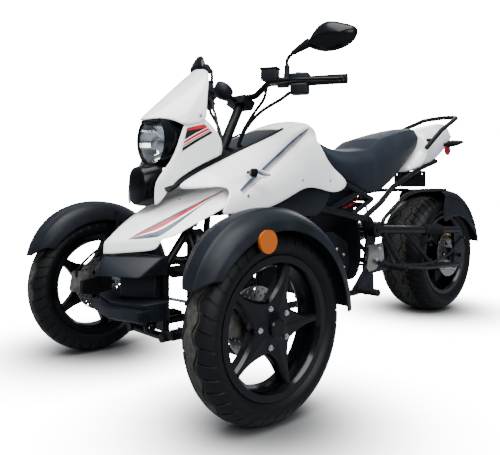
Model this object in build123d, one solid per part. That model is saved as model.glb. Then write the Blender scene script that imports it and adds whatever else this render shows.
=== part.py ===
from build123d import *
import math
import os
from collections import namedtuple

# A motor tricycle with two steered wheels in front and one driven wheel behind.
# Millimetres, +Z up, front towards -Y, left towards +X, origin on the floor under the middle.
# Heights and widths are given in that frame; lengths "y" are measured back from the front axle.

# Wheels
WHEELBASE = 1648
TRACK = 967
Wheel = namedtuple("Wheel", "tyre_d tyre_w seat_d seat_w spoke_in spoke_out hub_r hub_in hub_out bore_r")
FRONT = Wheel(524, 120, 356, 74, 4, 30, 64, -50, 46, 12.3)
REAR = Wheel(588, 235, 381, 190, -18, 18, 62, -133, 133, 10.3)
FLANGE_H = 14.5
FLANGE_SLOPE = 5.5
FLANGE_W = 9
RIM_WALL = 9
SPOKES = 5
SPOKE_ROOT_W = 84
SPOKE_WAIST_W = 40
SPOKE_TIP_W = 27
POCKET_ROOT_W = 42
POCKET_TIP_W = 11
POCKET_DEPTH = 6
POCKET_MARGIN = 9
CAP_R = 26
CAP_TAPER = 3
CAP_T = 10
HUB_NECK_R = 34

# Clearances
SEAT_GAP = 0.2
RUN_GAP = 0.3
SEAT_REST = 0.3

# Brakes
DISC_T = 4
FRONT_DISC_R = 100
FRONT_DISC_X = -46
FRONT_CALIPER_L = 76
FRONT_CALIPER_DEG = 80
REAR_DISC_R = 112
REAR_DISC_X = 122
REAR_CALIPER_L = 80
REAR_CALIPER_DEG = -30
PAD_GAP = 5
CALIPER_REACH = 34
CALIPER_LIP = 16
CALIPER_SIDE_T = 13
CALIPER_CORNER = 8
BOSS_PIN_R = 8
BOSS_PIN_FROM_AXLE = 93
BOSS_PIN_DEG = 22.7
HOSE_R = 4.5

# Fenders: width from the wheel's middle and depth below the crown, from the inner side out
FENDER_GAP = 56
FENDER_T = 4
FENDER_FRONT_DEG = 26
FENDER_REAR_DEG = 2
FenderEdge = namedtuple("FenderEdge", "x below")
FENDER_SKIN = [FenderEdge(-76, 38), FenderEdge(-62, 14), FenderEdge(-22, 0), FenderEdge(22, 0), FenderEdge(52, 12),
               FenderEdge(70, 34), FenderEdge(76, 56)]
REAR_FENDER_GAP = 38
REAR_FENDER_END_DEG = 8
REAR_FENDER_TOP_DEG = 100
REAR_FENDER_SKIN = [FenderEdge(-134, 32), FenderEdge(-120, 10), FenderEdge(-70, 0)]
REFLECTOR_R = 30
REFLECTOR_T = 8
REFLECTOR_INSET = 16
REFLECTOR_DEG = 17
STAY_R = 8
STAY_Y = 52
STAY_ROOT_Y = 8
STAY_ROOT_DROP = 34
STAY_KNEE_DROP = 10
STAY_RISE = 60
STAY_BEND = 16

# Front suspension and steering
KINGPIN_OFFSET = 78
UPRIGHT_HALF_H = 78
UPRIGHT_HALF_T = 16
UPRIGHT_HALF_L = 22
UPRIGHT_CORNER = 8
KINGPIN_R = 8
PIN_LENGTH = 34
COLLAR_R = 28
CALIPER_LUG_L = 95
CALIPER_LUG_HALF = 24
CALIPER_LUG_ROOT = 40
CALIPER_LUG_CORNER = 6
BOSS_R = 20
BOSS_H = 24
BOSS_GAP = 4
ARM_TUBE_R = 12
ARM_INNER_X = 132
LOWER_INNER_Z = 178
UPPER_INNER_Z = 372
ARM_PIVOT_Y = (-40, 110)
SLEEVE_R = 17
SLEEVE_L = 44
PIVOT_PIN_R = 8
EAR_HALF = 12
EAR_LIP = 14
EAR_T = 6
EAR_GAP = 2
STEER_ARM = 75
STEER_ARM_Z = 216
STEER_ARM_T = 12
TIE_ROD_R = 6
EYE_R = 14
EYE_H = 16
EYE_PIN_R = 6
STACK_GAP = 1
PITMAN_Y = 105
PITMAN_HALF_W = 22
PITMAN_BACK = 8
SHAFT_R = 12
YOKE_R = 18
YOKE_L = 30
BEARING_R = 22
BEARING_HALF = 16
SHOCK_TOP_X = 142
SHOCK_TOP_Z = 488
SHOCK_Y = 20
SHOCK_FOOT_SHARE = 0.68
SHOCK_EYE_R = 15
SHOCK_EYE_HALF = 20
SHOCK_PIN_R = 8
SHOCK_BODY_R = 24
SHOCK_ROD_R = 15
SHOCK_HEAD = 40
SHOCK_CAP_T = 10
SHOCK_TAIL = 62
COIL_R = 32
COIL_DEPTH = 7
COIL_SEAT = 4
COIL_TURNS = 7

# Steering column and handlebar
COLUMN_RAKE_DEG = 27
CLAMP_Y = 335
CLAMP_Z = 940
CLAMP_HALF = 28
CLAMP_W = 92
CLAMP_H = 34
CLAMP_RISE = 6
HEAD_Z = 705
HEAD_HALF = 55
HEAD_TUBE_R = 27
STEM_R = 18
KNEE_GAP = 16
BAR_R = 11
BAR_BACK = 14
BAR_RISE = 26
BAR_FLAT_X = 70
BAR_BEND = 40
BAR_BEND_X = 150
BAR_Z = 1000
BAR_END_X = 392
BAR_END_Y = 463
GRIP_R = 17
SWITCH_R = 24
PERCH_R = 18
RESERVOIR = (56, 44, 36)
RESERVOIR_SHIFT = (0, -34, 14)
LEVER_R = 7
LEVER_BEND = 20
LEVER_SHIFT = [(0, -30, 0), (8, -62, -4), (0, -58, -10)]
MIRROR_SHARE = 0.41
MIRROR_STEM_R = 6
MIRROR_BEND = 22
MIRROR_STEM = [(258, 380, 1092), (300, 385, 1130), (350, 400, 1146)]
MIRROR_PLACE = (360, 425, 1150)
MIRROR_ALONG = (0.94, 0.35, 0.22)
MIRROR_FACING = (0.35, -0.94, 0)
MIRROR_SIZE = (200, 92)
MIRROR_CORNER = 42
MIRROR_DEPTH = 30
MIRROR_TAPER_DEG = 14
GLASS_INSET = 6
GLASS_T = 3
DASH_SIZE = (130, 70, 40)
DASH_AHEAD = 88
DASH_RISE = 4
DASH_TILT_DEG = -40
DASH_STALK_R = 9

# Frame
RAIL_R = 14
RAIL_X = 95
UPRIGHT_R = 13
BAR_TUBE_R = 12
BEAM_R = 16
STRUT_R = 11
REAR_TUBE_R = 12
BULKHEAD_Y = -80
BULKHEAD_T = 4
BULKHEAD_HALF = 110
BULKHEAD_LOW = 190
BULKHEAD_TOP = 400
WINDOW_X = 148
PLATE_X = 149
PLATE_T = 10
PLATE_CORNER = 8
PIVOT_Y = 950
PIVOT_Z = 455
PIVOT_BOLT_R = 10
PIVOT_BOLT_END = 16
SEAT_BAR_Y = 948
SEAT_BAR_Z = 583
SEAT_POST_X = 90
TANK_BAR_Y = 600
TANK_BAR_Z = 690
TANK_POST_X = 50
POST_R = 8
HOOD_POST_X = 60
HOOD_POST_R = 6
SHOCK_CROSS_Y = 880
SHOCK_CROSS_Z = 560
TAIL_BAR_Y = 1500
TAIL_BAR_R = 10
TAIL_BAR_X = 79
TAIL_TUBE_LEAN = 0.345
TAIL_TUBE = [(80, 1455), (78, 1600)]
LAMP_BRACKET = (40, 100, 20)
LAMP_BRACKET_Z = 735

# Panels
PANEL_T = 4
PANEL_SKEW = 1.4


def P(x, y, z):
    """A point whose y is measured back from the front axle."""
    return Vector(x, FRONT_AXLE_Y + y, z)


def flat(points, corner=0):
    """A flat face through the points, with its corners rounded."""
    face = make_face(Polyline(*points, close=True))
    if corner:
        face = fillet(face.vertices(), corner)
    return face


def side_plate(outline, x0, x1, corner=0):
    """A side outline of (y, z) points carried across from x0 to x1."""
    return extrude(flat([P(x0, y, z) for y, z in outline], corner), x1 - x0, dir=(1, 0, 0))


def floor_plate(outline, z0, z1, corner=0):
    """A plan outline of (x, y) points carried up from z0 to z1."""
    return extrude(flat([P(x, y, z0) for x, y in outline], corner), z1 - z0, dir=(0, 0, 1))


def face_plate(outline, y0, y1, corner=0):
    """A front outline of (x, z) points carried back from y0 to y1."""
    return extrude(flat([P(x, y0, z) for x, z in outline], corner), y1 - y0, dir=(0, 1, 0))


def rod(start, end, radius):
    """A round bar between two points."""
    reach = end - start
    return extrude(Plane(start, z_dir=reach) * Circle(radius), reach.length)


def tube(points, radius, bend):
    """A bent round bar through the points."""
    path = FilletPolyline(*points, radius=bend)
    return sweep(Plane(path @ 0, z_dir=path % 0) * Circle(radius), path=path)


def spun(profile, centre, start_deg=0, arc_deg=360):
    """A profile of (x, radius) points turned about the cross-wise line through the centre."""
    axis = Axis(centre, (1, 0, 0))
    face = flat([centre + Vector(x, 0, r) for x, r in profile])
    return revolve(face.rotate(axis, start_deg), axis, arc_deg)


def other_side(shape):
    return mirror(shape, about=Plane.YZ)


def both(shape):
    """The shape and its mirror image on the other side."""
    return shape + other_side(shape)


def mirrored_profile(half):
    """A half profile of (x, r) points, from the inside out, closed by its mirror image."""
    return half + [(-x, r) for x, r in reversed(half)]


def strip(points, inner):
    """A thin closed section between an outer and an inner line of points."""
    return flat(points + list(reversed(inner)))


def between(rows, y):
    """The row at a length between two rows of a table, each of its values taken in proportion."""
    for a, b in zip(rows, rows[1:]):
        if y <= b.y:
            break
    share = (y - a.y) / (b.y - a.y)
    return a._make(p + (q - p) * share for p, q in zip(a, b))


# Places that follow from the sizes above
FENDER_R = FRONT.tyre_d / 2 + FENDER_GAP
REAR_FENDER_R = REAR.tyre_d / 2 + REAR_FENDER_GAP
FRONT_REACH = FENDER_R * math.cos(math.radians(FENDER_FRONT_DEG))
REAR_REACH = REAR_FENDER_R * math.cos(math.radians(REAR_FENDER_END_DEG))
FRONT_AXLE_Y = (FRONT_REACH - WHEELBASE - REAR_REACH) / 2
WHEEL_X = TRACK / 2
KINGPIN_X = WHEEL_X - KINGPIN_OFFSET
HUB_Z = FRONT.tyre_d / 2
FRONT_HUB = P(WHEEL_X, 0, HUB_Z)
REAR_HUB_Z = REAR.tyre_d / 2
REAR_HUB = P(0, WHEELBASE, REAR_HUB_Z)
BOSS_OFFSET = UPRIGHT_HALF_H + BOSS_GAP + BOSS_H / 2
RAKE = math.radians(COLUMN_RAKE_DEG)
KNEE_Z = CLAMP_Z - (CLAMP_Y - PITMAN_Y) / math.tan(RAKE)
PITMAN_Z = STEER_ARM_Z + STEER_ARM_T / 2 + STACK_GAP + EYE_H / 2
STAY_X = WHEEL_X + FENDER_SKIN[0].x - STAY_R - SEAT_REST
ArmRow = namedtuple("ArmRow", "inner_z outer_z")
LOWER_ARM = ArmRow(LOWER_INNER_Z, HUB_Z - BOSS_OFFSET)
UPPER_ARM = ArmRow(UPPER_INNER_Z, HUB_Z + BOSS_OFFSET)
BOSS_PIN_Y = WHEELBASE + BOSS_PIN_FROM_AXLE * math.sin(math.radians(BOSS_PIN_DEG))
BOSS_PIN_Z = REAR_HUB_Z + BOSS_PIN_FROM_AXLE * math.cos(math.radians(BOSS_PIN_DEG))


def on_column(z, back=0):
    """A point of the steering column's axis at a height, moved back square to it."""
    y = CLAMP_Y + (z - CLAMP_Z) * math.tan(RAKE)
    return P(0, y + back * math.cos(RAKE), z - back * math.sin(RAKE))


# Wheels, tyres and discs

def make_tyre(wheel, hub):
    seat_r = wheel.seat_d / 2
    tyre_r = wheel.tyre_d / 2
    half_seat = wheel.seat_w / 2
    half_w = wheel.tyre_w / 2
    bulge_r = seat_r + 0.56 * (tyre_r - seat_r)
    shoulder = (half_w * 0.76, tyre_r - 0.03 * wheel.tyre_d)
    bead = (half_seat - SEAT_GAP, seat_r + SEAT_GAP)
    heel = (half_seat + FLANGE_SLOPE - SEAT_GAP, seat_r + FLANGE_H + SEAT_GAP * 4)
    half = [bead, heel, (half_w, bulge_r), shoulder]
    return spun(half + [(0, tyre_r)] + [(-x, r) for x, r in reversed(half)], hub)


def make_spoke(wheel, hub):
    """One spoke, pointing up: broad at the hub, drawn in by an arc on each side, with a pocket in its face."""
    root = wheel.hub_r - RIM_WALL / 2
    tip = wheel.seat_d / 2 - RIM_WALL / 2

    def at(x, y, r):
        return hub + Vector(x, y, r)

    x = wheel.spoke_in
    waist_r = (root + tip) / 2
    sides = [(at(x, s * SPOKE_ROOT_W / 2, root), at(x, s * SPOKE_WAIST_W / 2, waist_r), at(x, s * SPOKE_TIP_W / 2, tip))
             for s in (1, -1)]
    left, right = sides
    edge = [ThreePointArc(*left), Line(left[2], right[2]), ThreePointArc(*reversed(right)), Line(right[0], left[0])]
    spoke = extrude(make_face(edge), wheel.spoke_out - wheel.spoke_in, dir=(1, 0, 0))
    floor_x = wheel.spoke_out - POCKET_DEPTH
    low = wheel.hub_r + POCKET_MARGIN
    high = wheel.seat_d / 2 - RIM_WALL - POCKET_MARGIN
    a = POCKET_ROOT_W / 2
    b = POCKET_TIP_W / 2
    pocket = flat([at(floor_x, -a, low), at(floor_x, a, low), at(floor_x, b, high), at(floor_x, -b, high)])
    return spoke - extrude(pocket, POCKET_DEPTH * 2, dir=(1, 0, 0))


def make_rim(wheel, hub, capped):
    seat_r = wheel.seat_d / 2
    half_seat = wheel.seat_w / 2
    half_rim = half_seat + FLANGE_W
    half = [(half_rim, seat_r - RIM_WALL), (half_rim, seat_r + FLANGE_H)]
    half += [(half_seat + FLANGE_SLOPE, seat_r + FLANGE_H), (half_seat, seat_r)]
    rim = spun(mirrored_profile(half), hub)
    boss = [(wheel.hub_in, wheel.bore_r), (wheel.hub_in, HUB_NECK_R), (wheel.spoke_in, HUB_NECK_R)]
    boss += [(wheel.spoke_in, wheel.hub_r), (wheel.spoke_out, wheel.hub_r)]
    if capped:
        boss += [(wheel.spoke_out, CAP_R), (wheel.hub_out, CAP_R - CAP_TAPER), (wheel.hub_out, 0)]
        boss += [(wheel.spoke_out - CAP_T, 0), (wheel.spoke_out - CAP_T, wheel.bore_r)]
    else:
        boss += [(wheel.spoke_out, HUB_NECK_R), (wheel.hub_out, HUB_NECK_R), (wheel.hub_out, wheel.bore_r)]
    rim += spun(boss, hub)
    spoke = make_spoke(wheel, hub)
    for k in range(SPOKES):
        rim += spoke.rotate(Axis(hub, (1, 0, 0)), 360 / SPOKES * k - 90)
    return rim


def make_disc(hub, x, outer_r):
    inner_r = HUB_NECK_R + RUN_GAP
    return spun([(x - DISC_T / 2, inner_r), (x - DISC_T / 2, outer_r), (x + DISC_T / 2, outer_r),
                 (x + DISC_T / 2, inner_r)], hub)


def make_caliper(hub, x, disc_r, angle_deg, length):
    """A block astride the disc's edge, with a slot for the disc, set at an angle about the axle."""
    low = disc_r - CALIPER_REACH
    high = disc_r + CALIPER_LIP
    slot_half = DISC_T / 2 + PAD_GAP
    slot_low = low - CALIPER_REACH
    slot_high = disc_r + PAD_GAP
    body = Pos(hub + Vector(x, 0, (low + high) / 2)) * Box((slot_half + CALIPER_SIDE_T) * 2, length, high - low)
    body = fillet(body.edges().filter_by(Axis.X), CALIPER_CORNER)
    slot = Pos(hub + Vector(x, 0, (slot_low + slot_high) / 2)) * Box(slot_half * 2, length * 2, slot_high - slot_low)
    return (body - slot).rotate(Axis(hub, (1, 0, 0)), angle_deg)


# Front uprights, arms and tie rods, drawn on the left side

def make_knuckle():
    low = HUB_Z - UPRIGHT_HALF_H
    high = HUB_Z + UPRIGHT_HALF_H
    x0 = KINGPIN_X - UPRIGHT_HALF_T
    x1 = KINGPIN_X + UPRIGHT_HALF_T
    post = side_plate([(-UPRIGHT_HALF_L, low), (UPRIGHT_HALF_L, low), (UPRIGHT_HALF_L, high),
                       (-UPRIGHT_HALF_L, high)], x0, x1, UPRIGHT_CORNER)
    post += rod(P(KINGPIN_X, 0, low), P(KINGPIN_X, 0, low - PIN_LENGTH), KINGPIN_R)
    post += rod(P(KINGPIN_X, 0, high), P(KINGPIN_X, 0, high + PIN_LENGTH), KINGPIN_R)
    post += rod(P(KINGPIN_X, 0, HUB_Z), P(WHEEL_X + FRONT.hub_in - BOSS_GAP, 0, HUB_Z), COLLAR_R)
    axle_end = WHEEL_X + FRONT.spoke_out - CAP_T - EAR_GAP
    post += rod(P(KINGPIN_X, 0, HUB_Z), P(axle_end, 0, HUB_Z), FRONT.bore_r - RUN_GAP)
    arm_low = STEER_ARM_Z - STEER_ARM_T / 2
    arm_high = STEER_ARM_Z + STEER_ARM_T / 2
    arm = floor_plate([(x0 + EAR_GAP, 0), (x1 - EAR_GAP, 0), (KINGPIN_X + EYE_R, STEER_ARM),
                       (KINGPIN_X - EYE_R, STEER_ARM)], arm_low, arm_high)
    arm += rod(P(KINGPIN_X, STEER_ARM, arm_low), P(KINGPIN_X, STEER_ARM, arm_high), EYE_R)
    arm += rod(P(KINGPIN_X, STEER_ARM, STEER_ARM_Z), P(KINGPIN_X, STEER_ARM, arm_high + STACK_GAP + EYE_H), EYE_PIN_R)
    bridge_x = WHEEL_X + FRONT_DISC_X - DISC_T / 2 - PAD_GAP - CALIPER_SIDE_T
    lug = side_plate([(-CALIPER_LUG_L, HUB_Z - CALIPER_LUG_HALF), (-CALIPER_LUG_L, HUB_Z + CALIPER_LUG_HALF),
                      (0, HUB_Z + CALIPER_LUG_ROOT), (0, HUB_Z - CALIPER_LUG_ROOT)],
                     x0 + CALIPER_LUG_CORNER, bridge_x, CALIPER_LUG_CORNER)
    stay = tube([P(KINGPIN_X, STAY_ROOT_Y, high - STAY_ROOT_DROP), P(KINGPIN_X, STAY_Y, high - STAY_KNEE_DROP),
                 P(STAY_X, STAY_Y, high + STAY_RISE), P(STAY_X, STAY_Y, HUB_Z + FENDER_R - FENDER_SKIN[0].below)],
                STAY_R, STAY_BEND)
    return post + arm + lug + stay


def make_fender():
    outer = [(edge.x, FENDER_R - edge.below) for edge in FENDER_SKIN]
    inner = [(x * 0.95, r - FENDER_T) for x, r in reversed(outer)]
    arc = 180 - FENDER_FRONT_DEG - FENDER_REAR_DEG
    return spun(outer + inner, FRONT_HUB, FENDER_REAR_DEG - 90, arc)


def make_reflector():
    """Amber reflector against the fender's outer edge."""
    edge = FENDER_SKIN[-1]
    radius = FENDER_R - edge.below - REFLECTOR_INSET
    lean = math.radians(REFLECTOR_DEG)
    back = FRONT_HUB + Vector(edge.x + SEAT_REST, -radius * math.sin(lean), radius * math.cos(lean))
    return rod(back, back + Vector(REFLECTOR_T, 0, 0), REFLECTOR_R)


def make_arm(row):
    """A wishbone: two tubes from the frame's pivots to one boss on the kingpin."""
    outer = P(KINGPIN_X, 0, row.outer_z)
    half_boss = Vector(0, 0, BOSS_H / 2)
    arm = rod(outer - half_boss, outer + half_boss, BOSS_R)
    for y in ARM_PIVOT_Y:
        inner = P(ARM_INNER_X, y, row.inner_z)
        arm += rod(inner, outer, ARM_TUBE_R)
        arm += rod(inner - Vector(0, SLEEVE_L / 2, 0), inner + Vector(0, SLEEVE_L / 2, 0), SLEEVE_R)
    for y in ARM_PIVOT_Y:
        inner = P(ARM_INNER_X, y, row.inner_z)
        arm -= rod(inner - Vector(0, SLEEVE_L, 0), inner + Vector(0, SLEEVE_L, 0), PIVOT_PIN_R + RUN_GAP)
    arm -= rod(outer - half_boss * 2, outer + half_boss * 2, KINGPIN_R + RUN_GAP)
    return arm


def make_tie_rod(side):
    """A rod with an eye at each end, between the upright's steering arm and the pitman arm."""
    pitman_z = PITMAN_Z + side * (EYE_H / 2 + STACK_GAP + STEER_ARM_T / 2)
    outer = P(side * KINGPIN_X, STEER_ARM, PITMAN_Z)
    inner = P(0, PITMAN_Y + STEER_ARM, pitman_z)
    half_eye = Vector(0, 0, EYE_H / 2)
    shape = rod(outer, inner, TIE_ROD_R)
    for end in (outer, inner):
        shape += rod(end - half_eye, end + half_eye, EYE_R)
    for end in (outer, inner):
        shape -= rod(end - half_eye * 3, end + half_eye * 3, EYE_PIN_R + RUN_GAP)
    return shape


def make_steering_shaft():
    """The upright lower shaft with the arm that moves both tie rods."""
    arm_low = PITMAN_Z - STEER_ARM_T / 2
    arm_high = PITMAN_Z + STEER_ARM_T / 2
    top = KNEE_Z - KNEE_GAP
    shaft = rod(P(0, PITMAN_Y, arm_low), P(0, PITMAN_Y, top), SHAFT_R)
    shaft += rod(P(0, PITMAN_Y, top - YOKE_L), P(0, PITMAN_Y, top), YOKE_R)
    front = PITMAN_Y - PITMAN_BACK
    end_y = PITMAN_Y + STEER_ARM
    shaft += floor_plate([(-PITMAN_HALF_W, front), (PITMAN_HALF_W, front), (EYE_R, end_y), (-EYE_R, end_y)],
                         arm_low, arm_high)
    pin = Vector(0, 0, STEER_ARM_T / 2 + STACK_GAP + EYE_H)
    end = P(0, end_y, PITMAN_Z)
    shaft += rod(end - pin, end + pin, EYE_PIN_R)
    return shaft


def shock_foot():
    """The damper's lower eye, resting on the rear tube of the lower wishbone."""
    x = ARM_INNER_X + (KINGPIN_X - ARM_INNER_X) * SHOCK_FOOT_SHARE
    arm_z = LOWER_ARM.inner_z + (LOWER_ARM.outer_z - LOWER_ARM.inner_z) * SHOCK_FOOT_SHARE
    return P(x, SHOCK_Y, arm_z + ARM_TUBE_R + SHOCK_EYE_R + SEAT_REST)


def make_shock():
    """A coil-over damper from the lower arm up to the frame's cross bar."""
    top = P(SHOCK_TOP_X, SHOCK_Y, SHOCK_TOP_Z)
    foot = shock_foot()
    axis = foot - top
    length = axis.length
    seat_r = COIL_R + COIL_SEAT
    pitch = (length - SHOCK_HEAD - SHOCK_TAIL - COIL_SEAT * 2) / COIL_TURNS
    head = SHOCK_HEAD - SHOCK_CAP_T
    profile = [(0, 0), (0, SHOCK_BODY_R), (head, SHOCK_BODY_R), (head, seat_r), (SHOCK_HEAD, seat_r)]
    for k in range(COIL_TURNS):
        profile += [(SHOCK_HEAD + pitch * (k + 0.5), COIL_R - COIL_DEPTH), (SHOCK_HEAD + pitch * (k + 1), COIL_R)]
    end = length - SHOCK_TAIL
    profile += [(end, seat_r), (end, SHOCK_ROD_R), (length, SHOCK_ROD_R), (length, 0)]
    place = Plane(top, x_dir=axis, z_dir=(0, 1, 0))
    body = revolve(place * make_face(Polyline(*profile, close=True)), Axis(top, axis))
    eye = Vector(0, SHOCK_EYE_HALF, 0)
    for point in (top, foot):
        body += rod(point - eye, point + eye, SHOCK_EYE_R)
    return body


# Bodywork: rows of sections along the length

HoodRow = namedtuple("HoodRow", "y half edge_z shoulder shoulder_z ridge_z")
HOOD = [
    HoodRow(-224, 16, 428, 9, 456, 463),
    HoodRow(-108, 136, 446, 70, 510, 532),
    HoodRow(0, 190, 527, 100, 592, 606),
    HoodRow(140, 172, 604, 128, 646, 660),
]


def make_hood():
    drop = Vector(0, 0, PANEL_T * PANEL_SKEW)
    sections = []
    for row in HOOD:
        outer = [P(-row.half, row.y, row.edge_z), P(-row.shoulder, row.y, row.shoulder_z), P(0, row.y, row.ridge_z),
                 P(row.shoulder, row.y, row.shoulder_z), P(row.half, row.y, row.edge_z)]
        sections.append(strip(outer, [p - drop for p in outer]))
    return loft(sections, ruled=True)


def hood_under(x, y):
    """Height of the hood's underside between its ridge and its shoulder."""
    row = between(HOOD, y)
    return row.ridge_z + (row.shoulder_z - row.ridge_z) * x / row.shoulder - PANEL_T * PANEL_SKEW


# Bumper: three layers with a pointed plan, and two lugs with a round hole below
V_BACK = BULKHEAD_Y - SEAT_REST
BumperLayer = namedtuple("BumperLayer", "z tip_y corner_x corner_y")
SLAB = [BumperLayer(422, -222, 150, -106), BumperLayer(368, -250, 132, -184)]
MOUTH = [BumperLayer(368, -168, 108, -100), BumperLayer(288, -168, 108, -100)]
CHIN = [BumperLayer(288, -198, 152, -110), BumperLayer(258, -208, 152, -116), BumperLayer(228, -180, 132, -100)]
LUG_X = 110
LUG_T = 12
LUG_Y = -128
LUG_Z = 214
LUG_R = 21
LUG_TOP = 250
LUG_HOLE_R = 8


def bumper_section(layer):
    return flat([P(0, layer.tip_y, layer.z), P(layer.corner_x, layer.corner_y, layer.z),
                 P(layer.corner_x, V_BACK, layer.z), P(-layer.corner_x, V_BACK, layer.z),
                 P(-layer.corner_x, layer.corner_y, layer.z)])


def make_bumper():
    body = loft([bumper_section(layer) for layer in SLAB], ruled=True)
    for layers in (MOUTH, CHIN):
        body += loft([bumper_section(layer) for layer in layers], ruled=True)
    for side in (-1, 1):
        x0 = side * LUG_X - LUG_T / 2
        x1 = side * LUG_X + LUG_T / 2
        plate = side_plate([(LUG_Y - LUG_R, LUG_Z), (LUG_Y + LUG_R, LUG_Z), (V_BACK, LUG_TOP),
                            (LUG_Y - LUG_R, LUG_TOP)], x0, x1)
        plate += rod(P(x0, LUG_Y, LUG_Z), P(x1, LUG_Y, LUG_Z), LUG_R)
        plate -= rod(P(x0 - LUG_T, LUG_Y, LUG_Z), P(x1 + LUG_T, LUG_Y, LUG_Z), LUG_HOLE_R)
        body += plate
    return body


# Headlight, its white cheeks and the visor above
LENS_Z = 786
LENS_R = 72
LENS_DEPTH = 34
LENS_Y = -38
LENS_BULGE = 12
BUCKET_R = 84
BUCKET_BACK = 20
CHEEK_X = 88
CHEEK_SLOPE = 0.176
CHEEK_T = 12
CHEEK_FRONT = -102
CHEEK_CORNER = 6
CHEEK = [(-102, 574), (-102, 664), (-50, 704), (-17, 825), (84, 846), (130, 812), (165, 783), (165, 743), (84, 714),
         (15, 670), (-55, 594)]
SHELL_BACK = 120
SHELL_LOW = 716
SHELL_TOP = 812
NECK_HALF = 70
NECK_LOW = 800
BROW_Z = 850
BROW_T = 12
BEAK = [(-113, 600), (-96, 694), (0, 720), (30, 700), (0, 640), (-70, 566)]
BEAK_HALF = 54
VisorRow = namedtuple("VisorRow", "z front half_mid mid half_rear rear")
VISOR = [
    VisorRow(BROW_Z + SEAT_REST, -100, 70, -40, 98, 66),
    VisorRow(950, 22, 70, 62, 96, 100),
    VisorRow(1046, 126, 42, 132, 54, 142),
]


def cheek_x(y):
    return CHEEK_X + (y - CHEEK_FRONT) * CHEEK_SLOPE


def make_cheeks():
    """The white side panels of the headlight, splayed towards the rear."""
    face = flat([P(cheek_x(y), y, z) for y, z in CHEEK], CHEEK_CORNER)
    return both(extrude(face, CHEEK_T, dir=Vector(1, -CHEEK_SLOPE, 0)))


def visor_line(row, inset=0):
    return [P(-row.half_rear + inset, row.rear, row.z), P(-row.half_mid + inset, row.mid + inset, row.z),
            P(0, row.front + inset, row.z), P(row.half_mid - inset, row.mid + inset, row.z),
            P(row.half_rear - inset, row.rear, row.z)]


def make_visor():
    return loft([strip(visor_line(row), visor_line(row, PANEL_T)) for row in VISOR], ruled=True)


def make_headlight_shell():
    """Round bucket, the body behind it that carries the cheeks, the brow under the visor and the beak."""
    shell = rod(P(0, LENS_Y, LENS_Z), P(0, BUCKET_BACK, LENS_Z), BUCKET_R)
    side_0 = cheek_x(0) - SEAT_REST
    side_1 = cheek_x(SHELL_BACK) - SEAT_REST
    shell += floor_plate([(-side_0, 0), (side_0, 0), (side_1, SHELL_BACK), (-side_1, SHELL_BACK)], SHELL_LOW, SHELL_TOP)
    foot = VISOR[0]
    brow = [(-foot.half_rear, foot.rear), (-foot.half_mid, foot.mid), (0, foot.front), (foot.half_mid, foot.mid),
            (foot.half_rear, foot.rear)]
    shell += floor_plate(brow, BROW_Z - BROW_T, BROW_Z)
    shell += floor_plate([(-NECK_HALF, 0), (NECK_HALF, 0), (NECK_HALF, foot.rear), (-NECK_HALF, foot.rear)],
                         NECK_LOW, BROW_Z - BROW_T / 2)
    shell += side_plate(BEAK, -BEAK_HALF, BEAK_HALF)
    shell -= rod(P(0, LENS_Y - LENS_BULGE, LENS_Z), P(0, LENS_Y + LENS_DEPTH, LENS_Z), LENS_R)
    return shell


def make_lens():
    centre = P(0, LENS_Y, LENS_Z)
    r = LENS_R - SEAT_REST
    back = LENS_DEPTH - SEAT_REST
    profile = make_face(Polyline((0, -LENS_BULGE), (0, back), (r, back), (r, 0), (r * 0.6, -LENS_BULGE * 0.67), close=True))
    place = Plane(centre, x_dir=(1, 0, 0), z_dir=(0, 0, 1))
    return revolve(place * profile, Axis(centre, (0, 1, 0)))


# Left half of the tank cover: inner x, outer x at the waist, and its lower, waist and upper edges
CoverRow = namedtuple("CoverRow", "y inner waist bottom_z waist_z top_z top_x")
COVER = [
    CoverRow(80, 160, 208, 545, 610, 700, 172),
    CoverRow(290, 138, 210, 566, 650, 812, 156),
    CoverRow(470, 96, 212, 632, 710, 866, 146),
    CoverRow(610, 100, 196, 640, 700, 862, 116),
    CoverRow(770, 140, 180, 640, 668, 690, 162),
]
COVER_TUCK = 14
TankRow = namedtuple("TankRow", "y half bottom_z top_z")
TANK = [
    TankRow(300, 78, 730, 806),
    TankRow(470, 96, 716, 872),
    TankRow(610, 100, 726, 868),
]
TANK_CROWN = 4
KNEE = [(150, 560), (420, 592), (655, 604), (575, 528), (330, 520)]
KNEE_T = 6
KNEE_CORNER = 10


def make_tank_cover():
    sections = []
    for row in COVER:
        low = row.waist - COVER_TUCK
        outer = [P(low, row.y, row.bottom_z), P(row.waist, row.y, row.waist_z), P(row.top_x, row.y, row.top_z),
                 P(row.inner, row.y, row.top_z)]
        inner = [P(low - PANEL_T * 2, row.y, row.bottom_z), P(row.waist - PANEL_T * 2, row.y, row.waist_z),
                 P(row.top_x - PANEL_T, row.y, row.top_z - PANEL_T * 2), P(row.inner, row.y, row.top_z - PANEL_T * 2)]
        sections.append(strip(outer, inner))
    return both(loft(sections, ruled=True))


def make_tank_top():
    sections = []
    for row in TANK:
        edge = row.half - SEAT_REST
        crown = edge * 0.6
        sections.append(flat([P(-edge, row.y, row.bottom_z), P(edge, row.y, row.bottom_z),
                              P(edge, row.y, row.top_z - TANK_CROWN), P(crown, row.y, row.top_z),
                              P(-crown, row.y, row.top_z), P(-edge, row.y, row.top_z - TANK_CROWN)]))
    return loft(sections, ruled=True)


def make_side_panels():
    inner_x = WINDOW_X + BEAM_R + SEAT_REST
    return both(side_plate(KNEE, inner_x, inner_x + KNEE_T, KNEE_CORNER))


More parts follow.
